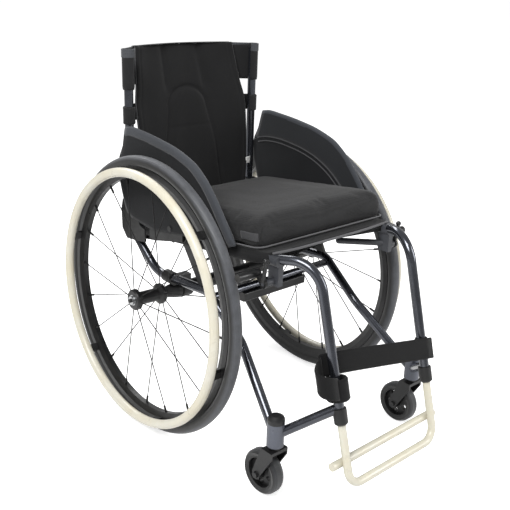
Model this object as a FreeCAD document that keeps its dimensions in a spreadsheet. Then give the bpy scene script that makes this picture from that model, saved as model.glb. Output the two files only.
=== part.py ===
import FreeCAD, Part

# A rigid-frame manual wheelchair, built as an assembly of separate pieces, in millimetres.
# +Z is up, the sitter faces -Y, the sitter's left is +X. The origin is on the floor, in the
# middle plane, half way between the back of the tyres and the front of the footrest.
# "Reach" is a distance ahead of the rear axle, so a point's y is axle_y minus its reach.

import math
import os

import Sketcher
from FreeCAD import Placement, Rotation, Vector

SIZES = [
    # rear wheels
    ("wheel_diameter", 590, "outside diameter of the 24 inch tyre"),
    ("tyre_section", 25, "tyre section"),
    ("rim_outer_radius", 273.5, "radius of the rim's outer edge"),
    ("rim_inner_radius", 250, "radius of the rim's inner wall"),
    ("rim_width", 21, "width over the rim's flanges"),
    ("rim_wall", 3, "thickness of the rim's side walls"),
    ("track_half", 230, "wheel plane to middle plane, at hub height"),
    ("camber_deg", 2, "lean of each wheel, top inwards"),
    ("handrim_radius", 264, "handrim centre line"),
    ("handrim_tube", 19, "handrim tube diameter"),
    ("handrim_bore", 15, "inside diameter of the handrim tube"),
    ("handrim_offset", 35, "handrim centre line outside the wheel plane"),
    ("tab_width", 16, "width of a handrim tab"),
    ("tab_depth", 8, "depth of a handrim tab"),
    ("hub_half_length", 38, "half the hub's length"),
    ("hub_shell_radius", 14, "hub shell between the flanges"),
    ("hub_flange_radius", 22, "radius of the spoke flanges"),
    ("hub_flange_width", 6, "width of a spoke flange"),
    ("hub_bore_radius", 8, "clearance bore through the hub"),
    ("bearing_radius", 11, "outside radius of a hub bearing"),
    ("bearing_width", 8, "width of a hub bearing"),
    ("spoke_radius", 1.1, "spoke wire radius"),
    ("nipple_radius", 2.4, "spoke nipple radius"),
    ("nipple_length", 14, "spoke nipple length"),
    ("running_gap", 0.07, "radial gap of a turning fit"),
    ("axle_radius", 6.35, "half-inch quick-release axle"),
    ("axle_head_radius", 9, "axle head outside the hub"),
    ("axle_head_width", 4, "axle head thickness"),
    ("button_radius", 4, "release button radius"),
    ("button_length", 16, "release button length"),
    ("button_stand", 4.5, "button standing proud of the axle head"),
    # frame tubes
    ("axle_y", 105.07, "rear axle behind the origin"),
    ("tube_outer", 19, "frame tube outside diameter"),
    ("tube_bore", 16, "frame tube inside diameter"),
    ("seat_half", 172, "seat rail to middle plane"),
    ("leg_half", 127, "front leg to middle plane"),
    ("rail_rear_reach", -110, "rear end of the seat rail"),
    ("rail_rear_height", 404, "height of the rail's rear end"),
    ("rail_turn_reach", 265, "where the rail turns inwards"),
    ("corner_reach", 383, "corner of rail and front leg"),
    ("corner_height", 463, "height of that corner"),
    ("corner_bend", 61, "bend radius of that corner"),
    ("turn_bend", 80, "bend radius of the inward turn"),
    ("leg_foot_reach", 463.2, "bottom end of the front leg"),
    ("leg_foot_height", 178, "height of the leg's bottom end"),
    ("upright_top_reach", -140, "top end of the lower tube"),
    ("upright_top_height", 395, "height of that end"),
    ("upright_foot_reach", -48, "lower tube's rear corner"),
    ("upright_foot_height", 322, "height of that corner"),
    ("drop_reach", 128, "corner where the lower tube drops"),
    ("drop_height", 334, "height of that corner"),
    ("drop_bend", 32, "bend radius of the drop"),
    ("upright_bend", 70, "bend radius of the rear corner"),
    ("splay_half", 167, "where the dropping tube turns outwards, to middle plane"),
    ("splay_reach", 228, "reach of that turn"),
    ("splay_height", 260, "height of that turn"),
    ("splay_bend", 120, "bend radius of that turn"),
    ("caster_half", 205, "caster pivot to middle plane"),
    ("caster_reach", 374, "caster pivot ahead of the axle"),
    ("drop_end_height", 135, "lower tube meets the caster housing"),
    ("arm_leg_height", 205, "caster arm meets the front leg"),
    ("arm_end_height", 138, "caster arm meets the housing"),
    ("cross_reach", 134, "cross tube ahead of the axle"),
    ("cross_height", 322, "height of the cross tube"),
    ("cross_diameter", 16, "cross tube diameter"),
    ("beam_half", 88, "half the cross beam's length"),
    ("beam_depth", 24, "cross beam depth"),
    ("beam_height", 20, "cross beam height"),
    ("axle_tube_outer", 30, "axle tube diameter"),
    ("axle_tube_bore", 25, "axle tube bore"),
    ("axle_tube_half", 150, "half the axle tube's length"),
    ("clamp_wall", 4, "wall of the clamp rings"),
    ("clamp_width", 24, "width of the axle tube clamp"),
    # casters
    ("caster_diameter", 90, "caster wheel diameter"),
    ("caster_width", 28, "caster wheel width"),
    ("caster_trail", 27, "caster axle behind its pivot"),
    ("housing_radius", 16.5, "caster housing outside radius"),
    ("housing_bottom", 117, "bottom of the housing"),
    ("housing_top", 165, "top of the housing"),
    ("cap_top", 180, "top of the housing cap"),
    ("stem_radius", 6, "swivel stem radius"),
    ("swivel_bearing_radius", 13, "swivel bearing outside radius"),
    ("fork_gap", 17, "fork blade to wheel's middle plane"),
    ("fork_wall", 4, "fork blade thickness"),
    ("crown_bottom", 103, "underside of the fork crown"),
    ("crown_top", 110, "top of the fork crown"),
    # footrest
    ("foot_tube", 15.8, "footrest tube diameter"),
    ("foot_bar_height", 57, "height of the front foot bar"),
    ("foot_top_height", 300, "top end of the footrest tube, inside the leg"),
    ("foot_bend", 30, "bend radius of the footrest corners"),
    ("rear_bar_height", 96, "height of the rear foot bar"),
    ("rear_bar_half", 153, "half the rear foot bar's length"),
    ("collar_radius", 13, "leg collar outside radius"),
    ("collar_length", 28, "leg collar length"),
    # backrest
    ("post_reach", -145, "back post behind the axle"),
    ("post_bottom", 464, "bottom of the post tube"),
    ("post_top", 775, "top of the post tube"),
    ("pivot_reach", -132, "backrest pivot"),
    ("pivot_height", 448, "height of the backrest pivot"),
    ("pivot_bolt_radius", 4, "backrest pivot bolt radius"),
    ("lug_half", 8.8, "half the thickness of the post lug"),
    ("bracket_wall", 4, "backrest bracket plate thickness"),
    ("sleeve_radius", 13, "upholstery loop outside radius"),
    ("sleeve_bore", 10, "upholstery loop inside radius"),
    ("cloth_thickness", 2.5, "thickness of the upholstery bands"),
    ("pad_thickness", 20, "back pad thickness"),
    # seat
    ("sling_thickness", 5, "seat sling thickness"),
    ("sling_gap", 0.5, "clearance of the soft pieces"),
    ("cushion_half", 178, "half the cushion's width"),
    ("cushion_front_reach", 283, "cushion front face"),
    ("cushion_rear_reach", -85, "cushion rear face"),
    ("core_thickness", 25, "firm lower foam"),
    ("foam_thickness", 36, "soft upper foam"),
    # side guards
    ("guard_inner", 192, "inner face of the side guard"),
    ("guard_thickness", 4, "side guard thickness"),
    ("bracket_plate", 5, "side guard bracket thickness"),
    ("screw_radius", 2.5, "side guard screw"),
    ("guard_roll_width", 11, "width of the padded roll along the guard's top"),
    ("guard_roll_height", 20, "height of that roll"),
    ("guard_roll_round", 4.5, "rounding of the roll"),
    # wheel locks and strap
    ("lock_reach", 305, "wheel lock clamp on the seat rail"),
    ("lock_drop", 41, "lock pivot below the rail"),
    ("lock_plate", 12, "thickness of the lock clamp block"),
    ("lock_depth", 27, "lock clamp block, front to back"),
    ("lock_block_low", 9, "block's underside below the pivot"),
    ("link_radius", 6.5, "tucked link under the seat"),
    ("link_run", 66, "how far that link goes inwards, and as far back"),
    ("lock_pin_radius", 4, "lock pivot pin"),
    ("shoe_angle", 25, "degrees above the horizon from hub to shoe"),
    ("lever_length", 45, "lock lever above its pivot"),
    ("lock_arm_inner", 183.3, "lock arm's inner face to middle plane"),
    ("shoe_end", 234, "outer end of the lock shoe"),
    ("shoe_radius", 8, "lock shoe radius"),
    ("shoe_gap", 15, "shoe to tyre when open"),
    ("strap_bottom", 221, "bottom of the calf strap"),
    ("strap_top", 263, "its top at the left leg"),
    ("strap_climb", 42, "how much higher it passes behind the right leg"),
]

SIDES = {"right": -1, "left": 1}
SPOKES_PER_FLANGE = 10
TABS = 6
CASTER_OPENINGS = 5
TINY = 0.01

doc = FreeCAD.newDocument("wheelchair")
sheet = doc.addObject("Spreadsheet::Sheet", "Sizes")


class Length:
    """A number together with the spreadsheet formula that gives it."""

    def __init__(self, value, formula):
        self.value = value
        self.formula = formula

    def __add__(self, other):
        return Length(self.value + value(other), f"({self.formula} + {formula(other)})")

    def __sub__(self, other):
        return Length(self.value - value(other), f"({self.formula} - {formula(other)})")

    def __rsub__(self, other):
        return Length(value(other) - self.value, f"({formula(other)} - {self.formula})")

    def __mul__(self, factor):
        return Length(self.value * factor, f"({self.formula} * {factor})")

    def __truediv__(self, divisor):
        return Length(self.value / divisor, f"({self.formula} / {divisor})")

    def __neg__(self):
        return Length(-self.value, f"(0 - {self.formula})")

    __radd__ = __add__
    __rmul__ = __mul__


def value(amount):
    return amount.value if isinstance(amount, Length) else float(amount)


def formula(amount):
    return amount.formula if isinstance(amount, Length) else str(float(amount))


class Dimensions:
    """One attribute for each named cell of the sheet."""


d = Dimensions()
for row, (alias, amount, note) in enumerate(SIZES, start=1):
    sheet.set(f"A{row}", alias)
    sheet.set(f"B{row}", str(amount))
    sheet.set(f"C{row}", note)
    sheet.setAlias(f"B{row}", alias)
    setattr(d, alias, Length(float(amount), f"Sizes.{alias}"))
doc.recompute()

CAMBER = math.radians(value(d.camber_deg))
TYRE_CENTRE = value(d.wheel_diameter) / 2 - value(d.tyre_section) / 2
HUB_HEIGHT = TYRE_CENTRE * math.cos(CAMBER) + value(d.tyre_section) / 2


# ---------------------------------------------------------------- building helpers


def at(x, reach, height):
    """A point from its side, its reach ahead of the rear axle and its height."""
    return Vector(value(x), value(d.axle_y) - value(reach), value(height))


def bind(thing, prop, amount):
    if isinstance(amount, Length):
        thing.setExpression(prop, amount.formula)
    else:
        setattr(thing, prop, amount)


def primitive(kind, name, placement=None, **sizes):
    """A Part primitive whose sizes follow the sheet."""
    solid = doc.addObject(f"Part::{kind}", name)
    for prop, amount in sizes.items():
        bind(solid, prop, amount)
    solid.Placement = placement or Placement()
    return solid


def cylinder(name, radius, height, base=Vector(), axis=Vector(0, 0, 1)):
    place = Placement(base, Rotation(Vector(0, 0, 1), axis))
    return primitive("Cylinder", name, place, Radius=radius, Height=height)


def box(name, length, width, height, corner):
    return primitive("Box", name, Placement(corner, Rotation()), Length=length, Width=width, Height=height)


def fuse(name, solids):
    joined = doc.addObject("Part::MultiFuse", name)
    joined.Shapes = solids
    joined.Refine = True
    return joined


def cut(name, base, tool):
    less = doc.addObject("Part::Cut", name)
    less.Base = base
    less.Tool = tool
    return less


def group(name, solids):
    """Separate, identical solids kept as one sub-part."""
    together = doc.addObject("Part::Compound", name)
    together.Links = solids
    return together


def fixed(name, shape, placement=None):
    """A sub-part whose shape is worked out here from the sheet's sizes."""
    feature = doc.addObject("Part::Feature", name)
    feature.Shape = shape
    feature.Placement = placement or Placement()
    return feature


def outline_sketch(body, name, plane, outline):
    """A closed outline of straight lines; every corner is dimensioned from the origin."""
    sketch = body.newObject("Sketcher::SketchObject", name)
    origin_plane = [f for f in body.Origin.OriginFeatures if f.Role == plane][0]
    sketch.AttachmentSupport = [(origin_plane, "")]
    sketch.MapMode = "FlatFace"
    corners = [Vector(value(across), value(up), 0) for across, up in outline]
    count = len(corners)
    for index in range(count):
        line = Part.LineSegment(corners[index], corners[(index + 1) % count])
        sketch.addGeometry(line, False)
    for index in range(count):
        joint = Sketcher.Constraint("Coincident", index, 2, (index + 1) % count, 1)
        sketch.addConstraint(joint)
    for index, corner in enumerate(outline):
        for direction, amount in zip(("DistanceX", "DistanceY"), corner):
            rule = Sketcher.Constraint(direction, -1, 1, index, 1, value(amount))
            number = sketch.addConstraint(rule)
            sketch.setExpression(f"Constraints[{number}]", formula(amount))
    return sketch


def turned(name, outline, placement=None):
    """A body of revolution about its own Z axis, from (radius, height) corners."""
    body = doc.addObject("PartDesign::Body", name)
    sketch = outline_sketch(body, name + "_profile", "XZ_Plane", outline)
    revolution = body.newObject("PartDesign::Revolution", name + "_turn")
    revolution.Profile = sketch
    revolution.ReferenceAxis = (sketch, ["V_Axis"])
    revolution.Angle = 360
    body.Placement = placement or Placement()
    return body


def ring_outline(inner, outer, low, high):
    return [(inner, low), (outer, low), (outer, high), (inner, high)]


def bent_wire(points, bends):
    """A path of straight runs, rounded at each inner corner by its bend radius."""
    edges = []
    start = points[0]
    for before, corner, after, bend in zip(points, points[1:], points[2:], bends):
        incoming = (corner - before).normalize()
        outgoing = (after - corner).normalize()
        turn = incoming.getAngle(outgoing)
        run = bend * math.tan(turn / 2)
        first = corner - incoming * run
        last = corner + outgoing * run
        inward = (outgoing - incoming).normalize()
        middle = corner + inward * (bend / math.cos(turn / 2) - bend)
        edges.append(Part.LineSegment(start, first).toShape())
        edges.append(Part.Arc(first, middle, last).toShape())
        start = last
    edges.append(Part.LineSegment(start, points[-1]).toShape())
    return Part.Wire(edges)


def swept(wire, radius):
    """A solid round bar along a path."""
    start = wire.Edges[0].valueAt(wire.Edges[0].FirstParameter)
    direction = wire.Edges[0].tangentAt(wire.Edges[0].FirstParameter)
    section = Part.Wire([Part.makeCircle(radius, start, direction)])
    return wire.makePipeShell([section], True, False)


def longest(shape):
    """The biggest of the pieces that a cope leaves."""
    return max(shape.Solids, key=lambda solid: solid.Volume)


def rod(start, end, radius):
    return Part.makeCylinder(radius, (end - start).Length, start, end - start)


# ---------------------------------------------------------------- places used by many pieces


def rail_height(reach):
    """Height of the seat rail's centre line at a reach."""
    run = value(d.corner_reach) - value(d.rail_rear_reach)
    rise = value(d.corner_height) - value(d.rail_rear_height)
    return value(d.rail_rear_height) + rise * (reach - value(d.rail_rear_reach)) / run


def leg_reach(height):
    """Reach of the front leg's centre line at a height."""
    drop = value(d.corner_height) - value(d.leg_foot_height)
    run = value(d.leg_foot_reach) - value(d.corner_reach)
    return value(d.corner_reach) + run * (value(d.corner_height) - height) / drop


def leg_point(side, height):
    return at(side * value(d.leg_half), leg_reach(height), height)


LEG_UP = (leg_point(1, 1) - leg_point(1, 0)).normalize()
RAIL_TILT = math.atan2(rail_height(1) - rail_height(0), 1)


def rail_wire(side):
    outer = side * value(d.seat_half)
    points = [
        at(outer, d.rail_rear_reach, d.rail_rear_height),
        at(outer, d.rail_turn_reach, rail_height(value(d.rail_turn_reach))),
        at(side * value(d.leg_half), d.corner_reach, d.corner_height),
        at(side * value(d.leg_half), d.leg_foot_reach, d.leg_foot_height),
    ]
    return bent_wire(points, [value(d.turn_bend), value(d.corner_bend)])


def lower_wire(side):
    outer = side * value(d.seat_half)
    points = [
        at(outer, d.upright_top_reach, d.upright_top_height),
        at(outer, d.upright_foot_reach, d.upright_foot_height),
        at(outer, d.drop_reach, d.drop_height),
        at(side * value(d.splay_half), d.splay_reach, d.splay_height),
        at(side * value(d.caster_half), d.caster_reach, d.drop_end_height),
    ]
    return bent_wire(points, [value(d.upright_bend), value(d.drop_bend), value(d.splay_bend)])


def housing_envelope(side):
    base = at(side * value(d.caster_half), d.caster_reach, d.housing_bottom)
    length = value(d.cap_top) - value(d.housing_bottom)
    return Part.makeCylinder(value(d.housing_radius), length, base)


def pivot_point(side, x):
    return at(side * x, d.pivot_reach, d.pivot_height)


def hub_point(side):
    return Vector(side * value(d.track_half), value(d.axle_y), HUB_HEIGHT)


def wheel_place(side):
    """Wheel frame: origin at the hub's centre, Z along the axle, outwards."""
    outwards = Vector(side * math.cos(CAMBER), 0, math.sin(CAMBER))
    return Placement(hub_point(side), Rotation(Vector(0, 0, 1), outwards))


# ---------------------------------------------------------------- frame


def build_frame(side_name, side):
    tube, bore = value(d.tube_outer), value(d.tube_bore)
    rail = rail_wire(side)
    lower = lower_wire(side)
    pivot_room = rod(pivot_point(side, 150), pivot_point(side, 190), 15)
    lower_solid = swept(lower, tube / 2)
    rail_shape = longest(swept(rail, tube / 2).cut(swept(rail, bore / 2)).cut(lower_solid))
    fixed(f"seat_rail_{side_name}", rail_shape)
    lower_shape = swept(lower, tube / 2).cut(swept(lower, bore / 2))
    lower_shape = lower_shape.cut(housing_envelope(side)).cut(pivot_room)
    fixed(f"lower_tube_{side_name}", longest(lower_shape))


def build_caster_arms():
    arms = []
    for side in SIDES.values():
        start = leg_point(side, value(d.arm_leg_height))
        end = at(side * value(d.caster_half), d.caster_reach, d.arm_end_height)
        arm = rod(start, end, value(d.tube_outer) / 2).cut(rod(start, end, value(d.tube_bore) / 2))
        leg = rod(leg_point(side, 170), leg_point(side, 300), value(d.tube_outer) / 2)
        foot = leg_point(side, value(d.leg_foot_height))
        collar = rod(foot, foot + LEG_UP * (value(d.collar_length) + 0.2), value(d.collar_radius) + 0.1)
        lower = swept(lower_wire(side), value(d.tube_outer) / 2)
        arm = arm.cut([leg, collar, housing_envelope(side), lower])
        arms.append(longest(arm))
    fixed("caster_arms", Part.makeCompound(arms))


def build_cross_members():
    half = value(d.seat_half)
    ends = [at(-half, d.cross_reach, d.cross_height), at(half, d.cross_reach, d.cross_height)]
    tube = rod(ends[0], ends[1], value(d.cross_diameter) / 2)
    for side in SIDES.values():
        tube = tube.cut(swept(lower_wire(side), value(d.tube_outer) / 2))
    fixed("cross_tube", longest(tube))
    top = value(d.cross_height) - value(d.cross_diameter) / 2
    front = value(d.cross_reach) + value(d.beam_depth) / 2
    corner = at(-value(d.beam_half), front, top - value(d.beam_height))
    beam = box("cross_beam_bar", d.beam_half * 2, d.beam_depth, d.beam_height, corner)
    rounded = doc.addObject("Part::Fillet", "cross_beam")
    rounded.Base = beam
    doc.recompute()
    along = [i for i, e in enumerate(beam.Shape.Edges, start=1) if abs(e.tangentAt(0).x) > 0.9]
    rounded.Edges = [(index, 4.0, 4.0) for index in along]
    half_tube = value(d.axle_tube_half)
    base = Vector(-half_tube, value(d.axle_y), axle_tube_height())
    outer = cylinder("axle_tube_outside", d.axle_tube_outer / 2, d.axle_tube_half * 2, base, Vector(1, 0, 0))
    inner = cylinder("axle_tube_inside", d.axle_tube_bore / 2, d.axle_tube_half * 2, base, Vector(1, 0, 0))
    cut("axle_tube", outer, inner)


def axle_tube_height():
    """The axle tube's centre lies on the cambered axles where they leave it."""
    inboard = value(d.track_half) - value(d.axle_tube_half)
    return HUB_HEIGHT - inboard * math.tan(CAMBER)


def build_axle_clamps():
    clamps = []
    wall = value(d.clamp_wall)
    for side in SIDES.values():
        inner_x = side * (value(d.axle_tube_half) - value(d.clamp_width) - 2)
        outer_x = side * (value(d.seat_half) + value(d.tube_outer) / 2 + wall)
        height = axle_tube_height()
        y = value(d.axle_y)
        ring = rod(Vector(inner_x, y, height), Vector(side * (value(d.axle_tube_half) - 2), y, height),
                   value(d.axle_tube_outer) / 2 + wall)
        tube_height = lower_height(0)
        low = Vector(side * value(d.seat_half), y + 14, tube_height)
        high = Vector(side * value(d.seat_half), y - 14, tube_height)
        saddle = rod(low, high, value(d.tube_outer) / 2 + wall)
        left = min(inner_x, outer_x)
        web_length = abs(side * value(d.seat_half) - inner_x)
        web_x = min(inner_x, side * value(d.seat_half))
        web = Part.makeBox(web_length, 20, tube_height - height, Vector(web_x, y - 10, height))
        block = ring.fuse([saddle, web])
        tube_end = side * (value(d.axle_tube_half) - 1)
        plug_room = rod(Vector(tube_end, y, height), Vector(side * 200, y, height), 18.6)
        beam = rod(Vector(-200, y, height), Vector(200, y, height), value(d.axle_tube_outer) / 2)
        block = block.cut([plug_room, beam, swept(lower_wire(side), value(d.tube_outer) / 2)])
        clamps.append(longest(block).removeSplitter())
    fixed("axle_clamps", Part.makeCompound(clamps))


def lower_height(reach):
    """Height of the lower tube's straight run under the seat."""
    run = value(d.drop_reach) - value(d.upright_foot_reach)
    rise = value(d.drop_height) - value(d.upright_foot_height)
    return value(d.upright_foot_height) + rise * (reach - value(d.upright_foot_reach)) / run


def build_axle_plugs():
    """Cambered receivers: a spigot inside the axle tube and a cone up to the hub."""
    plugs = []
    shoulder = value(d.track_half) - value(d.axle_tube_half)
    nose = value(d.hub_half_length) + 3
    for side_name, side in SIDES.items():
        outline = [
            (d.axle_radius, -shoulder - 32),
            (11.2, -shoulder - 32),
            (11.2, -shoulder + 0.6),
            (18, -shoulder + 0.6),
            (17, -shoulder + 10),
            (11, -nose),
            (d.axle_radius, -nose),
        ]
        plugs.append(turned(f"axle_plug_{side_name}", outline, wheel_place(side)))
    group("axle_plugs", plugs)


def build_rail_braces():
    """Tapered gusset plates between each seat rail and lower tube."""
    braces = []
    for side in SIDES.values():
        x = side * value(d.seat_half)
        corners = [
            at(x - 3, 42, rail_height(42)),
            at(x - 3, 78, rail_height(78)),
            at(x - 3, 134, value(d.drop_height) - 6),
            at(x - 3, 108, lower_height(108)),
        ]
        face = Part.Face(Part.makePolygon(corners + corners[:1]))
        brace = face.extrude(Vector(6, 0, 0))
        brace = brace.cut(swept(rail_wire(side), value(d.tube_outer) / 2))
        brace = brace.cut(swept(lower_wire(side), value(d.tube_outer) / 2))
        braces.append(longest(brace))
    fixed("rail_braces", Part.makeCompound(braces))


def build_collars():
    collars = []
    for side_name, side in SIDES.items():
        foot = leg_point(side, value(d.leg_foot_height))
        place = Placement(foot, Rotation(Vector(0, 0, 1), LEG_UP))
        outline = [
            (8.2, -4),
            (d.collar_radius - 3, -4),
            (d.collar_radius, -1),
            (d.collar_radius, d.collar_length - 1),
            (d.collar_radius - 1, d.collar_length),
            (d.tube_outer / 2, d.collar_length),
            (d.tube_outer / 2, 0),
            (8.2, 0),
        ]
        collars.append(turned(f"leg_collar_{side_name}", outline, place))
    group("leg_collars", collars)


# ---------------------------------------------------------------- rear wheels


def build_rear_wheel(side_name, side):
    place = wheel_place(side)
    build_rim(side_name, place)
    build_tyre(side_name, place)
    build_hub(side_name, place)
    build_spokes(side_name, place)
    build_handrim(side_name, place)
    build_axle(side_name, place)


def build_rim(side_name, place):
    """An open channel: two side walls on a narrow floor, with the tyre seated inside."""
    half = d.rim_width / 2
    inner = d.rim_inner_radius
    outer = d.rim_outer_radius
    wall = d.rim_wall
    outline = [
        (inner, -6), (inner, 6), (inner + 12, half), (outer, half),
        (outer, half - wall), (inner + 14, half - wall),
        (inner + 4, 3.5), (inner + 4, -3.5), (inner + 14, wall - half), (outer, wall - half), (outer, -half),
        (inner + 12, -half),
    ]
    turned(f"rim_{side_name}", outline, place)


def build_tyre(side_name, place):
    """A round tread with a foot that fills the rim's channel."""
    centre = TYRE_CENTRE
    section = value(d.tyre_section) / 2
    half = value(d.rim_width) / 2 - value(d.rim_wall)
    tread = Part.makeTorus(centre, section)
    floor = value(d.rim_inner_radius) + 14
    foot = Part.makeCylinder(centre, 2 * half, Vector(0, 0, -half)).cut(
        Part.makeCylinder(floor, 2 * half, Vector(0, 0, -half)))
    outside = value(d.rim_outer_radius)
    walls = Part.makeCylinder(outside, 40, Vector(0, 0, half)).fuse(
        Part.makeCylinder(outside, 40, Vector(0, 0, -half - 40)))
    inside = Part.makeCylinder(floor, 60, Vector(0, 0, -30))
    tyre = tread.fuse(foot).cut(walls).cut(inside).removeSplitter()
    fixed(f"tyre_{side_name}", longest(tyre), place)


def build_hub(side_name, place):
    end = d.hub_half_length
    seat = end - d.bearing_width
    flange = d.hub_flange_radius
    shell = d.hub_shell_radius
    outline = [
        (d.bearing_radius, -end), (shell, -end), (flange - 2, 2 - end), (flange, 5 - end),
        (flange, 5 + d.hub_flange_width - end), (shell, 16 - end), (shell, end - 16),
        (flange, end - 5 - d.hub_flange_width), (flange, end - 3), (flange - 3, end),
        (d.bearing_radius, end), (d.bearing_radius, seat), (d.hub_bore_radius, seat),
        (d.hub_bore_radius, -seat), (d.bearing_radius, -seat),
    ]
    turned(f"hub_{side_name}", outline, place)
    bearings = []
    for low, label in ((-end, "inner"), (seat, "outer")):
        inner = d.axle_radius + d.running_gap
        outline = ring_outline(inner, d.bearing_radius, low, low + d.bearing_width)
        bearings.append(turned(f"hub_bearing_{label}_{side_name}", outline, place))
    group(f"hub_bearings_{side_name}", bearings)


def build_spokes(side_name, place):
    """Radial spokes from both flanges, alternating, with a nipple at the rim."""
    flange_middle = value(d.hub_half_length) - 8
    spokes = []
    count = 2 * SPOKES_PER_FLANGE
    for index in range(count):
        angle = 2 * math.pi * index / count
        outwards = Vector(math.cos(angle), math.sin(angle), 0)
        z = flange_middle if index % 2 else -flange_middle
        start = outwards * value(d.hub_flange_radius) + Vector(0, 0, z)
        end = outwards * value(d.rim_inner_radius) + Vector(0, 0, 2 if index % 2 else -2)
        along = (end - start).normalize()
        wire = rod(start - along, end + along, value(d.spoke_radius))
        nipple = rod(end - along * value(d.nipple_length), end + along, value(d.nipple_radius))
        spokes.append(wire.fuse(nipple))
    hub_body = Part.makeCylinder(value(d.hub_flange_radius), 100, Vector(0, 0, -50))
    rim_solid = Part.makeCylinder(300, 60, Vector(0, 0, -30)).cut(
        Part.makeCylinder(value(d.rim_inner_radius), 60, Vector(0, 0, -30)))
    trimmed = [longest(spoke.cut(hub_body).cut(rim_solid)) for spoke in spokes]
    fixed(f"spokes_{side_name}", Part.makeCompound(trimmed), place)


def build_handrim(side_name, place):
    middle = Placement(place.multVec(Vector(0, 0, value(d.handrim_offset))), place.Rotation)
    outside = primitive("Torus", f"handrim_outside_{side_name}", middle,
                        Radius1=d.handrim_radius, Radius2=d.handrim_tube / 2)
    inside = primitive("Torus", f"handrim_inside_{side_name}", middle,
                       Radius1=d.handrim_radius, Radius2=d.handrim_bore / 2)
    cut(f"handrim_{side_name}", outside, inside)
    middle = Vector(0, 0, value(d.handrim_offset))
    ring = Part.makeTorus(value(d.handrim_radius), value(d.handrim_tube) / 2, middle)
    low = value(d.rim_width) / 2
    depth, width = value(d.tab_depth), value(d.tab_width)
    tabs = []
    for index in range(TABS):
        tab = Part.makeBox(depth, width, value(d.handrim_offset) - low,
                           Vector(value(d.handrim_radius) - depth / 2, -width / 2, low))
        tab = longest(tab.cut(ring))
        tab.rotate(Vector(), Vector(0, 0, 1), 360 * (index + 0.25) / TABS)
        tabs.append(tab)
    fixed(f"handrim_tabs_{side_name}", Part.makeCompound(tabs), place)


def build_axle(side_name, place):
    """The quick-release axle: a hollow pin through hub and receiver, with a head outside."""
    head = d.hub_half_length + 0.4
    inner_end = -(value(d.track_half) - value(d.axle_tube_half)) - 30
    pocket = head + d.axle_head_width - d.button_length
    bore = d.button_radius + 0.1
    outline = [
        (0, inner_end), (d.axle_radius - 1, inner_end),
        (d.axle_radius, inner_end + 1), (d.axle_radius, head),
        (d.axle_head_radius, head), (d.axle_head_radius, head + d.axle_head_width),
        (bore, head + d.axle_head_width), (bore, pocket), (0, pocket),
    ]
    turned(f"quick_axle_{side_name}", outline, place)
    low = pocket + d.button_stand
    outline = [
        (0, low), (d.button_radius, low), (d.button_radius, low + d.button_length - 1),
        (d.button_radius - 1, low + d.button_length), (0, low + d.button_length),
    ]
    turned(f"release_button_{side_name}", outline, place)


# ---------------------------------------------------------------- casters


def build_caster_housings():
    housings, caps, bearings = [], [], []
    width = 8
    for side_name, side in SIDES.items():
        place = Placement(at(side * value(d.caster_half), d.caster_reach, 0), Rotation())
        low, high = d.housing_bottom, d.housing_top
        seat = d.swivel_bearing_radius
        outline = [
            (seat, low), (d.housing_radius, low), (d.housing_radius, high), (seat, high),
            (seat, high - width),
            (10, high - width), (10, low + width), (seat, low + width),
        ]
        housings.append(turned(f"caster_housing_{side_name}", outline, place))
        outline = [
            (0, d.cap_top - 3), (0, d.cap_top), (9, d.cap_top), (d.housing_radius - 2, d.cap_top - 3),
            (d.housing_radius, d.cap_top - 7),
            (d.housing_radius, high), (12, high), (12, d.cap_top - 3),
        ]
        caps.append(turned(f"housing_cap_{side_name}", outline, place))
        inner = d.stem_radius + d.running_gap
        for label, base in (("lower", low), ("upper", high - width)):
            outline = ring_outline(inner, seat, base, base + width)
            bearings.append(turned(f"swivel_bearing_{label}_{side_name}", outline, place))
    group("caster_housings", housings)
    group("housing_caps", caps)
    group("swivel_bearings", bearings)


def build_caster(side_name, side):
    pivot = at(side * value(d.caster_half), d.caster_reach, 0)
    radius = value(d.caster_diameter) / 2
    axle = pivot + Vector(0, value(d.caster_trail), radius)
    build_fork(side_name, pivot, axle)
    sideways = Rotation(Vector(0, 0, 1), Vector(1, 0, 0))
    place = Placement(axle, sideways)
    half = d.caster_width / 2
    tread = d.caster_diameter / 2
    outline = [
        (34, -half + 2), (tread - 5, -half), (tread - 1.5, 4 - half), (tread, 8 - half), (tread, half - 8),
        (tread - 1.5, half - 4), (tread - 5, half), (34, half - 2),
    ]
    turned(f"caster_tyre_{side_name}", outline, place)
    outline = [
        (4.07, -half), (10, -half), (11, -6), (30, -3), (30, 2 - half), (34, 2 - half), (34, half - 2),
        (30, half - 2), (30, 3), (11, 6), (10, half), (4.07, half),
    ]
    disc = turned(f"caster_disc_{side_name}", outline, place)
    openings = []
    for index in range(CASTER_OPENINGS):
        angle = 2 * math.pi * index / CASTER_OPENINGS
        middle = Vector(20.5 * math.cos(angle), 20.5 * math.sin(angle), -20)
        name = f"caster_opening_{index}_{side_name}"
        openings.append(cylinder(name, 6, 40, place.multVec(middle), Vector(1, 0, 0)))
    cut(f"caster_rim_{side_name}", disc, fuse(f"caster_openings_{side_name}", openings))
    reach = value(d.fork_gap) + value(d.fork_wall)
    outline = [
        (0, -reach - 4), (6, -reach - 4), (6.5, -reach), (4, -reach),
        (4, reach), (6.5, reach), (6, reach + 5),
        (0, reach + 5),
    ]
    turned(f"caster_bolt_{side_name}", outline, place)


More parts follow.
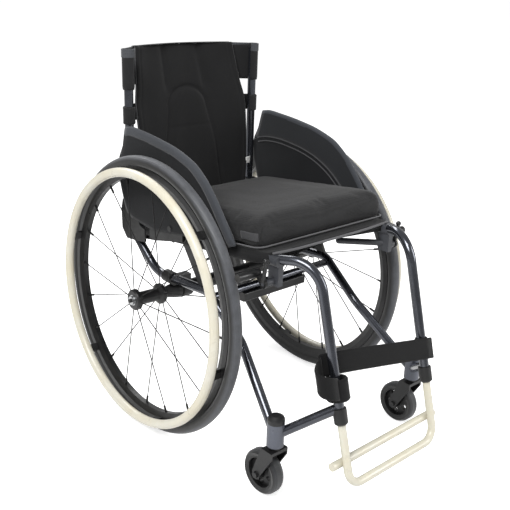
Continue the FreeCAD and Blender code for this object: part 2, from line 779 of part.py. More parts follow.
def build_fork(side_name, pivot, axle):
    """Two swept-back blades under a crown, with the swivel stem on top."""
    gap, wall = value(d.fork_gap), value(d.fork_wall)
    low, high = value(d.crown_bottom), value(d.crown_top)
    blades = []
    for inner in (gap, -gap - wall):
        x = pivot.x + inner
        front = pivot.y - 13
        back = pivot.y + 15
        corners = [
            Vector(x, front, high), Vector(x, back, high), Vector(x, axle.y + 10.5, axle.z + 4),
            Vector(x, axle.y + 8.5, axle.z - 7), Vector(x, axle.y, axle.z - 11),
            Vector(x, axle.y - 8.5, axle.z - 7),
            Vector(x, axle.y - 11, axle.z + 2), Vector(x, front, low - 8),
        ]
        face = Part.Face(Part.makePolygon(corners + corners[:1]))
        blades.append(face.extrude(Vector(wall, 0, 0)))
    crown = Part.makeBox(2 * (gap + wall), 28, high - low, Vector(pivot.x - gap - wall, pivot.y - 13, low))
    shoulder = Part.makeCylinder(12, value(d.housing_bottom) - high - 1, Vector(pivot.x, pivot.y, high))
    stem_length = value(d.cap_top) - 10 - high
    stem = Part.makeCylinder(value(d.stem_radius), stem_length, Vector(pivot.x, pivot.y, high))
    nut = Part.makeCylinder(9, 5, Vector(pivot.x, pivot.y, value(d.housing_top) + 0.6))
    hole = Part.makeCylinder(4, 80, Vector(axle.x - 40, axle.y, axle.z), Vector(1, 0, 0))
    fork = crown.fuse(blades + [shoulder, stem, nut]).cut(hole).removeSplitter()
    fixed(f"caster_fork_{side_name}", longest(fork))


# ---------------------------------------------------------------- footrest


def build_footrest():
    """One bent bow that telescopes in both legs, with a second bar welded behind it."""
    low = value(d.foot_bar_height)
    points = [
        leg_point(-1, value(d.foot_top_height)),
        leg_point(-1, low),
        leg_point(1, low),
        leg_point(1, value(d.foot_top_height)),
    ]
    radius = value(d.foot_tube) / 2
    bow = swept(bent_wire(points, [value(d.foot_bend)] * 2), radius)
    behind = leg_reach(value(d.rear_bar_height)) - (value(d.foot_tube) - 1.2) / LEG_UP.z
    half = value(d.rear_bar_half)
    bar = rod(at(-half, behind, d.rear_bar_height), at(half, behind, d.rear_bar_height), radius)
    fixed("footrest_bow", bow.fuse(bar).removeSplitter())


# ---------------------------------------------------------------- backrest


def build_back_posts():
    """Tubes with a pivot lug at the foot; their open tops take a stranger's handle."""
    posts = []
    lug_half = value(d.lug_half)
    for side in SIDES.values():
        x = side * value(d.seat_half)
        foot = at(x, d.post_reach, d.post_bottom)
        length = value(d.post_top) - value(d.post_bottom)
        tube = Part.makeCylinder(value(d.tube_outer) / 2, length, foot)
        tube = tube.cut(Part.makeCylinder(value(d.tube_bore) / 2, length, foot))
        pivot = at(x - lug_half, d.pivot_reach, d.pivot_height)
        eye = Part.makeCylinder(12, 2 * lug_half, pivot, Vector(1, 0, 0))
        corners = [
            at(x - lug_half, value(d.pivot_reach) + 11, value(d.pivot_height) + 5),
            at(x - lug_half, value(d.post_reach) + 9, d.post_bottom),
            at(x - lug_half, value(d.post_reach) - 9, d.post_bottom),
            at(x - lug_half, value(d.pivot_reach) - 20, value(d.pivot_height) + 4),
            at(x - lug_half, value(d.pivot_reach) - 10, value(d.pivot_height) - 6),
        ]
        web = Part.Face(Part.makePolygon(corners + corners[:1])).extrude(Vector(2 * lug_half, 0, 0))
        plug = Part.makeCylinder(value(d.tube_bore) / 2, 20, foot)
        lug = eye.fuse([web, plug])
        bolt_hole = value(d.pivot_bolt_radius) + value(d.running_gap)
        bolt = Part.makeCylinder(bolt_hole, 2 * lug_half, pivot, Vector(1, 0, 0))
        posts.append(tube.fuse(lug).cut(bolt).removeSplitter())
    fixed("back_posts", Part.makeCompound(posts))


def build_back_brackets():
    """A channel at each rear corner: two side plates and a stop behind the lug."""
    brackets, bolts = [], []
    wall = value(d.bracket_wall)
    inside = value(d.tube_outer) / 2 + 0.05
    for side in SIDES.values():
        x = side * value(d.seat_half)
        plates = []
        for start in (x - inside - wall, x + inside):
            corners = [
                at(start, -74, 385), at(start, -74, 413), at(start, -92, 418), at(start, -116, 461),
                at(start, -158, 463), at(start, -164, 440), at(start, -162, 396), at(start, -144, 376),
                at(start, -104, 380),
            ]
            plates.append(Part.Face(Part.makePolygon(corners + corners[:1])).extrude(Vector(wall, 0, 0)))
        stop = Part.makeBox(2 * inside, 3, 20, at(x - inside, -155.2, 442))
        bracket = stop.fuse(plates)
        pivot = pivot_point(1, 0)
        bolt_radius = value(d.pivot_bolt_radius)
        axis_start = Vector(x - inside - wall - 1, pivot.y, pivot.z)
        bracket = bracket.cut(Part.makeCylinder(bolt_radius, 40, axis_start, Vector(1, 0, 0)))
        brackets.append(bracket.removeSplitter())
        span = 2 * (inside + wall)
        shank = Part.makeCylinder(bolt_radius, span, Vector(x - span / 2, pivot.y, pivot.z), Vector(1, 0, 0))
        heads = [
            Part.makeCylinder(7, 3.5, Vector(x - span / 2 - 3.5, pivot.y, pivot.z), Vector(1, 0, 0)),
            Part.makeCylinder(7, 3.5, Vector(x + span / 2, pivot.y, pivot.z), Vector(1, 0, 0)),
        ]
        bolts.append(shank.fuse(heads))
    fixed("back_brackets", Part.makeCompound(brackets))
    fixed("pivot_bolts", Part.makeCompound(bolts))


PAD_FRONT = [(-120, 500), (-125, 570), (-133, 640), (-148, 700), (-159, 745), (-168, 787)]
PAD_HALF_WIDTHS = [(148, 500), (151, 640), (149, 668), (138, 703), (124, 787)]


def build_back_bands():
    """A loop round each post, and a band between them that sags back to hold the pad."""
    bands = []
    cloth = value(d.cloth_thickness)
    radius = value(d.sleeve_radius)
    half = value(d.seat_half)
    rear = value(d.post_reach) - radius
    for low, high, back, span in ((700, 782, -190, 140), (628, 665, -162, 152)):
        height = high - low
        outline = [
            (half, rear + cloth), (span, back), (-span, back), (-half, rear + cloth), (-half, rear),
            (-span - 1, back - cloth), (span + 1, back - cloth), (half, rear),
        ]
        corners = [at(x, reach, low) for x, reach in outline]
        strip = Part.Face(Part.makePolygon(corners + corners[:1])).extrude(Vector(0, 0, height))
        bores = []
        for side in SIDES.values():
            base = at(side * half, d.post_reach, low)
            strip = strip.fuse(Part.makeCylinder(radius, height, base))
            bores.append(Part.makeCylinder(value(d.sleeve_bore), height, base))
        bands.append(longest(strip.cut(bores)).removeSplitter())
    fixed("back_bands", Part.makeCompound(bands))


def build_back_pad():
    """A padded panel that leans back towards its top and narrows above a flare."""
    thick = value(d.pad_thickness)
    front = Part.BSplineCurve()
    front.interpolate([at(-200, reach, height) for reach, height in PAD_FRONT])
    back = Part.BSplineCurve()
    back.interpolate([at(-200, reach - thick, height) for reach, height in PAD_FRONT])
    ends = [Part.makeLine(front.StartPoint, back.StartPoint), Part.makeLine(front.EndPoint, back.EndPoint)]
    side_edges = [front.toShape(), ends[1], back.toShape(), ends[0]]
    leaning = Part.Face(Part.Wire(Part.sortEdges(side_edges)[0])).extrude(Vector(400, 0, 0))
    right = [at(-half, 0, height) for half, height in PAD_HALF_WIDTHS]
    left = [at(half, 0, height) for half, height in reversed(PAD_HALF_WIDTHS)]
    outline = Part.Face(Part.makePolygon(right + left + right[:1])).extrude(Vector(0, 300, 0))
    fixed("back_pad", longest(leaning.common(outline)))


# ---------------------------------------------------------------- seat


def seat_slab(name, low, high, half, front, rear, round_radius):
    """A slab parallel to the seat rails, between two heights above the rails' tops."""
    tops = []
    for reach in (front, rear):
        tops.append(rail_height(reach) + value(d.tube_outer) / 2 / math.cos(RAIL_TILT))
    corners = [
        at(-half, front, tops[0] + low), at(-half, rear, tops[1] + low),
        at(-half, rear, tops[1] + high), at(-half, front, tops[0] + high),
    ]
    slab = Part.Face(Part.makePolygon(corners + corners[:1])).extrude(Vector(2 * half, 0, 0))
    if round_radius:
        edges = [e for e in slab.Edges if e.CenterOfMass.z > min(tops) and abs(e.tangentAt(0).x) < TINY
                 and abs(e.tangentAt(0).z) > 0.9]
        slab = slab.makeFillet(round_radius, edges)
    return fixed(name, slab)


def build_sling(low, high):
    """The fabric seat, as wide as the rails all along and folded over them at its edges."""
    edge = 6
    rows = [(-84, value(d.seat_half) + edge), (value(d.rail_turn_reach), value(d.seat_half) + edge)]
    rows.append((312, rail_side_at(312) + edge))
    lift = value(d.tube_outer) / 2 / math.cos(RAIL_TILT) + low
    right = [at(-half, reach, rail_height(reach) + lift) for reach, half in rows]
    left = [at(half, reach, rail_height(reach) + lift) for reach, half in reversed(rows)]
    outline = right + left
    face = Part.Face(Part.makePolygon(outline + outline[:1]))
    fixed("seat_sling", face.extrude(Vector(0, 0, high - low)))


def build_seat():
    gap = value(d.sling_gap)
    sling_top = gap + value(d.sling_thickness)
    build_sling(gap, sling_top)
    half = value(d.cushion_half)
    front, rear = value(d.cushion_front_reach), value(d.cushion_rear_reach)
    core_low = sling_top + gap
    core_high = core_low + value(d.core_thickness)
    seat_slab("cushion_core", core_low, core_high, half, front, rear, 20)
    seat_slab("cushion_foam", core_high, core_high + value(d.foam_thickness), half, front, rear, 20)


# ---------------------------------------------------------------- side guards


GUARD_CREST = [
    (-126, 628), (-100, 632), (-68, 630), (-32, 627), (2, 623), (52, 615), (100, 601), (122, 590), (148, 571),
    (168, 551), (186, 530), (202, 510), (220, 488), (236, 467),
]
GUARD_FOOT = [
    (60, 440), (-30, 425), (-108, 432), (-128, 441),
    (-140, 466), (-153, 505), (-156, 545), (-140, 577),
]
GUARD_SCREW = (32, 446)


def crest_edge(side, x, drop):
    """The guard's top edge as a smooth curve, lowered square to itself by a drop."""
    line = [at(side * x, reach, height) for reach, height in GUARD_CREST]
    lowered = []
    for index, point in enumerate(line):
        along = line[min(index + 1, len(line) - 1)] - line[max(index - 1, 0)]
        downwards = Vector(0, along.z, -along.y).normalize()
        downwards = downwards if downwards.z < 0 else -downwards
        lowered.append(point + downwards * drop)
    curve = Part.BSplineCurve()
    curve.interpolate(lowered)
    return curve.toShape()


def build_guard(side_name, side):
    """A flat panel inside the wheel, with a padded roll along its top."""
    inner, thick = value(d.guard_inner), value(d.guard_thickness)
    roll, height = value(d.guard_roll_width), value(d.guard_roll_height)
    seam = crest_edge(side, inner, height)
    foot = [at(side * inner, *point) for point in GUARD_FOOT]
    ends = [seam.valueAt(seam.LastParameter), seam.valueAt(seam.FirstParameter)]
    below = Part.makePolygon([ends[0]] + foot + [ends[1]])
    panel = Part.Face(Part.Wire([seam] + below.Edges)).extrude(Vector(side * thick, 0, 0))
    screw_start = at(side * (inner - 5), *GUARD_SCREW)
    screw = Part.makeCylinder(value(d.screw_radius), 30, screw_start, Vector(side, 0, 0))
    fixed(f"side_guard_{side_name}", panel.cut(screw))
    start = inner - (roll - thick) / 2
    top, bottom = crest_edge(side, start, 0), crest_edge(side, start, height)
    rear = Part.makeLine(top.valueAt(top.FirstParameter), bottom.valueAt(bottom.FirstParameter))
    front = Part.makeLine(top.valueAt(top.LastParameter), bottom.valueAt(bottom.LastParameter))
    face = Part.Face(Part.Wire(Part.sortEdges([top, rear, bottom, front])[0]))
    bar = face.extrude(Vector(side * roll, 0, 0))
    crests = [e for e in bar.Edges if e.Length > 300 and e.CenterOfMass.z > bar.CenterOfMass.z + 4]
    fixed(f"guard_roll_{side_name}", bar.makeFillet(value(d.guard_roll_round), crests))


def build_guard_brackets():
    """A plate beside each guard, standing off its seat rail on two stubs, and its screw."""
    brackets, screws = [], []
    inner = value(d.guard_inner)
    thick = value(d.bracket_plate)
    rail_x = value(d.seat_half)
    radius = value(d.screw_radius)
    for side in SIDES.values():
        outwards = Vector(side, 0, 0)
        outline = [(-46, 405), (-29, 403), (25, 416), (69, 426), (69, 448), (42, 461), (-28, 459), (-46, 440)]
        corners = [at(side * (inner - thick), *point) for point in outline]
        bracket = Part.Face(Part.makePolygon(corners + corners[:1])).extrude(outwards * thick)
        for stub_reach in (-18, 30):
            base = at(side * rail_x, stub_reach, rail_height(stub_reach))
            bracket = bracket.fuse(rod(base, base + outwards * (inner - thick - rail_x), 7))
        hole_base = at(side * (inner - thick - 5), *GUARD_SCREW)
        hole = Part.makeCylinder(radius, 30, hole_base, outwards)
        bracket = bracket.cut([swept(rail_wire(side), value(d.tube_outer) / 2), hole])
        brackets.append(longest(bracket).removeSplitter())
        length = thick + value(d.guard_thickness)
        shank = Part.makeCylinder(radius, length, at(side * (inner - thick), *GUARD_SCREW), outwards)
        head_x = side * (inner + value(d.guard_thickness))
        head = Part.makeCylinder(2.4 * radius, 2, at(head_x, *GUARD_SCREW), outwards)
        screws.append(shank.fuse(head).removeSplitter())
    fixed("guard_brackets", Part.makeCompound(brackets))
    fixed("guard_screws", Part.makeCompound(screws))


# ---------------------------------------------------------------- wheel locks


def build_locks():
    """A block clamped on each seat rail, with its link tucked under the seat, and an arm with the shoe."""
    clamps = []
    reach = value(d.lock_reach)
    rail_x = rail_side_at(reach)
    arm_x = value(d.lock_arm_inner)
    pivot_height = rail_height(reach) - value(d.lock_drop)
    thick, depth = value(d.lock_plate), value(d.lock_depth)
    low = value(d.lock_block_low)
    for side_name, side in SIDES.items():
        outwards = Vector(side, 0, 0)
        centre = at(side * rail_x, reach, rail_height(reach))
        half = Vector(0, depth / 2, 0)
        ring = rod(centre + half, centre - half, value(d.tube_outer) / 2 + 4)
        corner = Vector(centre.x - thick / 2, centre.y - depth / 2, pivot_height - low)
        block = Part.makeBox(thick, depth, value(d.lock_drop) + low, corner)
        pivot = Vector(centre.x, centre.y, pivot_height)
        spacer = Part.makeCylinder(7, arm_x - 0.3 - rail_x, pivot, outwards)
        pin = Part.makeCylinder(value(d.lock_pin_radius), arm_x + 5.5 - rail_x, pivot, outwards)
        run = value(d.link_run)
        link_start = pivot + Vector(0, 4, 6)
        link_end = link_start + Vector(-side * run, run, 0)
        link = rod(link_start, link_end, value(d.link_radius))
        tip = Part.makeSphere(value(d.link_radius), link_end)
        clamp = ring.fuse([block, spacer, pin, link, tip])
        above = Part.makeBox(60, 60, 30, Vector(centre.x - 30, centre.y - 30, rail_height(reach) + 8))
        clamp = clamp.cut([swept(rail_wire(side), value(d.tube_outer) / 2), above])
        clamps.append(longest(clamp).removeSplitter())
        build_lock_arm(side_name, side, side * arm_x, reach, pivot_height)
    fixed("lock_clamps", Part.makeCompound(clamps))


def rail_side_at(reach):
    """Distance of the rail from the middle plane, ahead of its inward turn."""
    turn = value(d.rail_turn_reach)
    share = max(0, reach - turn) / (value(d.corner_reach) - turn)
    return value(d.seat_half) + (value(d.leg_half) - value(d.seat_half)) * share


def shoe_point():
    """The shoe's centre, standing off the tyre along a line from the hub."""
    angle = math.radians(value(d.shoe_angle))
    out = value(d.wheel_diameter) / 2 + value(d.shoe_radius) + value(d.shoe_gap)
    return out * math.cos(angle), HUB_HEIGHT + out * math.sin(angle)


def build_lock_arm(side_name, side, start_x, reach, height):
    shoe_reach, shoe_height = shoe_point()
    thick = 5
    pivot = at(start_x, reach, height)
    shoe = at(start_x, shoe_reach, shoe_height)
    outwards = Vector(side, 0, 0)
    eye = Part.makeCylinder(9, thick, pivot, outwards)
    boss = Part.makeCylinder(7, thick, shoe, outwards)
    along = (shoe - pivot).normalize()
    across = along.cross(Vector(1, 0, 0))
    corners = [pivot + across * 8, shoe + across * 6.5, shoe - across * 6.5, pivot - across * 8]
    web = Part.Face(Part.makePolygon(corners + corners[:1])).extrude(outwards * thick)
    roller = Part.makeCylinder(value(d.shoe_radius), value(d.shoe_end) - abs(start_x), shoe, outwards)
    middle = Vector(side * (thick / 2 + 1.7), 0, 0)
    grip_end = pivot + middle + Vector(0, -6, value(d.lever_length))
    handle = rod(pivot + middle, grip_end, 4)
    knob = Part.makeSphere(5.5, grip_end)
    arm = eye.fuse([boss, web, roller, handle, knob])
    bore = value(d.lock_pin_radius) + value(d.running_gap)
    arm = arm.cut(Part.makeCylinder(bore, 60, pivot - outwards * 20, outwards))
    fixed(f"lock_arm_{side_name}", longest(arm.removeSplitter()))


# ---------------------------------------------------------------- calf strap


def build_calf_strap():
    """A strap from the left leg to the right one, where it climbs behind and folds back down in front."""
    cloth = value(d.cloth_thickness)
    clear = value(d.tube_outer) / 2 + 0.5
    low, high, climb = value(d.strap_bottom), value(d.strap_top), value(d.strap_climb)
    loops = []
    bores = []
    for side, top in ((1, high), (-1, high + climb)):
        base = leg_point(side, low)
        length = (top - low) / LEG_UP.z
        loops.append(Part.makeCylinder(clear + cloth, length, base, LEG_UP))
        bores.append(Part.makeCylinder(clear, length + 20, base - LEG_UP * 10, LEG_UP))
    behind = Vector(0, clear / LEG_UP.z, 0)
    corners = [
        leg_point(1, low) + behind, leg_point(1, high) + behind,
        leg_point(-1, high + climb) + behind, leg_point(-1, low + climb) + behind,
    ]
    band = Part.Face(Part.makePolygon(corners + corners[:1])).extrude(Vector(0, cloth, 0))
    front = Part.makeBox(60, 60, 60, leg_point(-1, high) + Vector(-30, -60 - 1, 0))
    shape = loops[0].fuse([loops[1].cut(front), band]).cut(bores)
    fixed("calf_strap", longest(shape.removeSplitter()))


# ---------------------------------------------------------------- build, check and write

NODES = [
    "seat_rail_left", "seat_rail_right", "lower_tube_left", "lower_tube_right", "caster_arms",
    "cross_tube", "cross_beam", "axle_tube", "axle_clamps", "axle_plugs", "rail_braces",
    "leg_collars", "caster_housings", "housing_caps", "swivel_bearings", "back_brackets",
    "pivot_bolts", "side_guard_left", "side_guard_right", "guard_roll_left", "guard_roll_right",
    "guard_brackets", "guard_screws", "lock_clamps", "quick_axle_left", "quick_axle_right",
    "seat_sling", "calf_strap", "cushion_core", "cushion_foam", "back_posts", "back_bands",
    "back_pad", "footrest_bow", "lock_arm_left", "lock_arm_right", "release_button_left",
    "release_button_right", "rim_left", "rim_right", "tyre_left", "tyre_right", "spokes_left",
    "spokes_right", "hub_left", "hub_right", "hub_bearings_left", "hub_bearings_right",
    "handrim_left", "handrim_right", "handrim_tabs_left", "handrim_tabs_right", "caster_fork_left",
    "caster_fork_right", "caster_tyre_left", "caster_tyre_right", "caster_rim_left",
    "caster_rim_right", "caster_bolt_left", "caster_bolt_right",
]


def build_all():
    for side_name, side in SIDES.items():
        build_frame(side_name, side)
        build_rear_wheel(side_name, side)
        build_caster(side_name, side)
        build_guard(side_name, side)
    build_caster_arms()
    build_cross_members()
    build_axle_clamps()
    build_axle_plugs()
    build_rail_braces()
    build_collars()
    build_caster_housings()
    build_footrest()
    build_back_posts()
    build_back_brackets()
    build_back_bands()
    build_back_pad()
    build_seat()
    build_guard_brackets()
    build_locks()
    build_calf_strap()
    doc.recompute()


def check_and_write():
    for thing in doc.Objects:
        if "Invalid" in thing.State or "Error" in thing.State:
            raise RuntimeError(f"{thing.Name} failed: {thing.State}")
    os.makedirs("parts", exist_ok=True)
    for name in NODES:
        shape = doc.getObject(name).Shape
        if shape.isNull() or not shape.isValid() or not shape.Solids:
            raise RuntimeError(f"{name} has no valid solid")
        if any(solid.Volume <= 0 for solid in shape.Solids):
            raise RuntimeError(f"{name} has a solid turned inside out")
    for name in NODES:
        part = doc.getObject(name)
        part.Label = name
        part.Shape.exportStep(f"parts/{name}.step")
    print(len(NODES), "sub-parts written")


build_all()
check_and_write()
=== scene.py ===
# A rigid-frame manual wheelchair: procedural finishes on the metal and plastic parts, and cushion,
# upholstery, guards and strap modelled as soft goods. Metres, +Z up, the sitter faces -Y.
# "Reach" is a distance ahead of the rear axle; heights and sideways distances below are in mm.

import math

import bmesh
import bpy
import numpy as np
from mathutils import Matrix, Vector
from mathutils.bvhtree import BVHTree


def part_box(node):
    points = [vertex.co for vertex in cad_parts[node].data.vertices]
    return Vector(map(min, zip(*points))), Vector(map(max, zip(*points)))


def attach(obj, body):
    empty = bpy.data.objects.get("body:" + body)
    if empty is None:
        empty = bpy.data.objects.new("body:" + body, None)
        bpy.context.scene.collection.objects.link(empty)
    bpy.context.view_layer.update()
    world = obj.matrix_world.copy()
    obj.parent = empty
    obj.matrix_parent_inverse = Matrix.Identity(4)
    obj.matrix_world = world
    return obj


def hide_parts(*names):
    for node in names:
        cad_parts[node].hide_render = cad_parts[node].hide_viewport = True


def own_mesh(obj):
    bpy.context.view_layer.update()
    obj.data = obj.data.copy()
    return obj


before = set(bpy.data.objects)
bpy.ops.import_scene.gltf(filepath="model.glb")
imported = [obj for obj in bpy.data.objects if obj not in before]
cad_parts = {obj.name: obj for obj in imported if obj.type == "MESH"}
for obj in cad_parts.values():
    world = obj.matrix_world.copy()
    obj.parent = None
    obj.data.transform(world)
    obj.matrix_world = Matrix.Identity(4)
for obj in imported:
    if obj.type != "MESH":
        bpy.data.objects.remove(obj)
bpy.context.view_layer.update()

MM = 0.001
SIDES = {"right": -1, "left": 1}


def middle_of(node):
    low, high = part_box(node)
    return (low + high) / 2


AXLE_Y = middle_of("axle_tube").y
RAIL_RISE = (463 - 404) / (383 + 110)
SEAT_TILT = math.atan(RAIL_RISE)
TUBE_RADIUS = 9.5


def at(x, reach, height):
    return Vector((x * MM, AXLE_Y - reach * MM, height * MM))


def rail_height(reach):
    return 404 + (reach + 110) * RAIL_RISE


def rail_side(reach):
    """Distance of the seat rail from the middle plane; it turns inwards near its front."""
    return 172 - 45 * max(0, reach - 265) / (383 - 265)


def seat_point(x, reach, up):
    """A point above the tops of the seat rails, measured square to them."""
    top = rail_height(reach) + TUBE_RADIUS / math.cos(SEAT_TILT)
    return at(x, reach - up * math.sin(SEAT_TILT), top + up * math.cos(SEAT_TILT))


def leg_point(side, height):
    share = (463 - height) / (463 - 178)
    return at(side * 127, 383 + (463.2 - 383) * share, height)


# ---------------------------------------------------------------- node trees


class Look:
    """A material whose node tree is written as nested calls."""

    def __init__(self, name, roughness=0.5, metallic=0.0, sheen=0.0, coat=0.0, specular=0.5):
        self.material = bpy.data.materials.new(name)
        self.material.use_nodes = True
        self.tree = self.material.node_tree
        self.shader = self.tree.nodes["Principled BSDF"]
        self.place = self.tree.nodes.new("ShaderNodeTexCoord").outputs["Object"]
        for key, amount in (
            ("Roughness", roughness), ("Metallic", metallic), ("Sheen Weight", sheen),
            ("Coat Weight", coat), ("Specular IOR Level", specular),
        ):
            self.shader.inputs[key].default_value = amount
        self.heights = None

    def node(self, kind, inputs, output=0, **settings):
        made = self.tree.nodes.new(kind)
        for key, setting in settings.items():
            setattr(made, key, setting)
        for key, given in inputs.items():
            self.feed(made.inputs[key], given)
        return made.outputs[output]

    def feed(self, slot, given):
        if isinstance(given, bpy.types.NodeSocket):
            self.tree.links.new(given, slot)
        elif hasattr(slot.default_value, "__len__") and not hasattr(given, "__len__"):
            slot.default_value = [given] * len(slot.default_value)
        elif hasattr(given, "__len__") and len(slot.default_value) == 4 and len(given) == 3:
            slot.default_value = [*given, 1]
        else:
            slot.default_value = given

    def math(self, operation, *values):
        return self.node("ShaderNodeMath", dict(enumerate(values)), operation=operation)

    def vector(self, operation, *values, output=0):
        return self.node("ShaderNodeVectorMath", dict(enumerate(values)), output, operation=operation)

    def noise(self, scale, detail=4.0, roughness=0.5, place=None):
        inputs = {"Vector": place or self.place, "Scale": scale, "Detail": detail, "Roughness": roughness}
        return self.node("ShaderNodeTexNoise", inputs)

    def spread(self, value, low, high, to_low=0.0, to_high=1.0):
        inputs = {0: value, 1: low, 2: high, 3: to_low, 4: to_high}
        return self.node("ShaderNodeMapRange", inputs, clamp=True)

    def mix(self, share, first, second):
        made = self.tree.nodes.new("ShaderNodeMix")
        made.data_type = "RGBA"
        for index, given in ((0, share), (6, first), (7, second)):
            self.feed(made.inputs[index], given)
        return made.outputs[2]

    def split(self, place=None):
        made = self.tree.nodes.new("ShaderNodeSeparateXYZ")
        self.tree.links.new(place or self.place, made.inputs[0])
        return made.outputs

    def turned(self, angle):
        """The place, turned about X, so that a weave lies along the seat."""
        inputs = {"Vector": self.place, "Rotation": (angle, 0, 0)}
        return self.node("ShaderNodeMapping", inputs)

    def waves(self, pitch, place=None):
        """Ridges 0 to 1 along each axis."""
        return [
            self.math("ABSOLUTE", self.math("SINE", self.math("MULTIPLY", axis, math.pi / (pitch * MM))))
            for axis in self.split(place)
        ]

    def facing(self):
        """How far the surface faces X, Y and Z, as shares."""
        normal = self.tree.nodes.new("ShaderNodeTexCoord").outputs["Normal"]
        powers = [self.math("POWER", self.math("ABSOLUTE", part), 6.0) for part in self.split(normal)]
        total = self.math("ADD", self.math("ADD", powers[0], powers[1]), self.math("ADD", powers[2], 1e-4))
        return [self.math("DIVIDE", part, total) for part in powers]

    def weave(self, pitch, place=None, operation="MINIMUM"):
        """Crossed ridges, laid on each surface from the axes that run along it."""
        x, y, z = self.waves(pitch, place)
        shares = self.facing()
        crossed = [self.math(operation, y, z), self.math(operation, x, z), self.math(operation, x, y)]
        parts = [self.math("MULTIPLY", share, part) for share, part in zip(shares, crossed)]
        return self.math("ADD", self.math("ADD", parts[0], parts[1]), parts[2])

    def about_axis(self, centre, axis):
        """Distance from an axis, distance along it, and the angle around it."""
        away = self.vector("SUBTRACT", self.place, tuple(centre))
        along = self.vector("DOT_PRODUCT", away, tuple(axis), output="Value")
        across = self.vector("CROSS_PRODUCT", away, tuple(axis))
        radius = self.vector("LENGTH", across, output="Value")
        parts = self.split(across)
        return radius, along, self.math("ARCTAN2", parts[1], parts[2])

    def colour(self, given):
        self.feed(self.shader.inputs["Base Color"], given)
        return self

    def rough(self, given):
        self.feed(self.shader.inputs["Roughness"], given)
        return self

    def bump(self, height, strength=0.4, depth=0.3):
        inputs = {"Height": height, "Strength": strength, "Distance": depth * MM}
        made = self.tree.nodes.new("ShaderNodeBump")
        for key, given in inputs.items():
            self.feed(made.inputs[key], given)
        if self.heights is not None:
            self.tree.links.new(self.heights, made.inputs["Normal"])
        self.heights = made.outputs[0]
        self.tree.links.new(self.heights, self.shader.inputs["Normal"])
        return self


def grey(level, tint=(1, 1, 1)):
    return tuple(level * part for part in tint)


def paint(name, colour, second, roughness, metallic, coat, flake=0.02):
    """Sprayed paint: slow colour drift, fine flakes, orange peel and a few dull patches."""
    look = Look(name, roughness, metallic, coat=coat)
    look.shader.inputs["Coat Roughness"].default_value = 0.08
    drift = look.spread(look.noise(9, 5), 0.35, 0.65)
    base = look.mix(drift, colour, second)
    flakes = look.spread(look.noise(2600, 2), 0.62, 0.72)
    base = look.mix(look.math("MULTIPLY", flakes, flake * 10), base, grey(0.45, (0.9, 0.95, 1.1)))
    look.colour(base)
    look.rough(look.spread(look.noise(60, 6), 0.3, 0.75, roughness * 0.75, roughness * 1.35))
    look.bump(look.noise(700, 2), 0.12, 0.05)
    return look.material


def moulded(name, level, roughness, tint=(1, 1, 1.04), grain=900, depth=0.08):
    """Moulded plastic or powder-coated metal with a fine grain and scuffs."""
    look = Look(name, roughness, specular=0.45)
    drift = look.spread(look.noise(14, 6, 0.6), 0.3, 0.7)
    base = look.mix(drift, grey(level, tint), grey(level * 1.5, tint))
    scuffs = look.spread(look.noise(55, 8, 0.75), 0.64, 0.72)
    look.colour(look.mix(look.math("MULTIPLY", scuffs, 0.35), base, grey(min(1, level * 3 + 0.03))))
    look.rough(look.spread(look.noise(80, 5), 0.3, 0.7, roughness * 0.8, min(1, roughness * 1.25)))
    look.bump(look.noise(grain, 3), 0.35, depth)
    return look.material


def brushed(name, level, roughness):
    """Bright metal with fine drawn lines and handling marks."""
    look = Look(name, roughness, 1.0)
    place = look.node("ShaderNodeMapping", {"Vector": look.place, "Scale": (1, 1, 0.06)})
    lines = look.noise(1500, 3, 0.6, place)
    marks = look.spread(look.noise(45, 7, 0.7), 0.45, 0.7)
    look.colour(look.mix(lines, grey(level * 0.8), grey(level * 1.1, (0.97, 1, 1.02))))
    look.rough(look.math("ADD", look.spread(marks, 0, 1, roughness * 0.7, roughness * 1.5), 0.02))
    look.bump(lines, 0.1, 0.04)
    return look.material


def aged_cream(name, colour, roughness, coat):
    """Cream coating, slightly yellowed, with patches of grime."""
    look = Look(name, roughness, coat=coat)
    look.shader.inputs["Coat Roughness"].default_value = 0.12
    warm = tuple(part * amount for part, amount in zip(colour, (0.97, 0.93, 0.84)))
    base = look.mix(look.spread(look.noise(16, 6, 0.65), 0.35, 0.7), colour, warm)
    grime = look.spread(look.noise(85, 9, 0.8), 0.6, 0.78)
    base = look.mix(look.math("MULTIPLY", grime, 0.3), base, (0.36, 0.34, 0.3))
    look.colour(base)
    look.rough(look.spread(look.noise(40, 6), 0.3, 0.7, roughness * 0.7, roughness * 1.4))
    look.bump(look.noise(420, 4), 0.15, 0.06)
    return look.material


def tyre_rubber(name, centre, axis, tread_from, tread_full, tread_highlight_level):
    """Rubber with moulded rings on its side walls and a tread round the outside painted paler and bluer, a
    painted highlight standing for light caught on the tread.
    """
    look = Look(name, 0.5, sheen=0.15, specular=0.5)
    radius, along, _ = look.about_axis(centre, axis)
    tread = look.spread(radius, tread_from * MM, tread_full * MM)
    dust = look.spread(look.noise(60, 8, 0.7), 0.35, 0.75)
    wall = look.mix(dust, grey(0.006), grey(0.014, (1, 1, 1.05)))
    # painted highlight: the tread is coloured paler and bluer than the walls to stand for the light it
    # catches; the dust noise varies it at random
    tread_highlight = look.mix(dust, grey(tread_highlight_level, (0.93, 0.98, 1.1)), grey(tread_highlight_level * 1.7, (0.93, 0.98, 1.1)))
    look.colour(look.mix(tread, wall, tread_highlight))
    look.rough(look.spread(dust, 0, 1, 0.42, 0.62))
    rings = look.math("SINE", look.math("MULTIPLY", along, math.tau / (2.6 * MM)))
    look.bump(look.math("MULTIPLY", tread, rings), 0.35, 0.35)
    ribs = look.math("SINE", look.math("MULTIPLY", radius, math.tau / (2.1 * MM)))
    quiet = look.math("SUBTRACT", 1.0, tread)
    look.bump(look.math("MULTIPLY", quiet, ribs), 0.2, 0.2)
    look.bump(look.noise(900, 3), 0.25, 0.12)
    return look.material


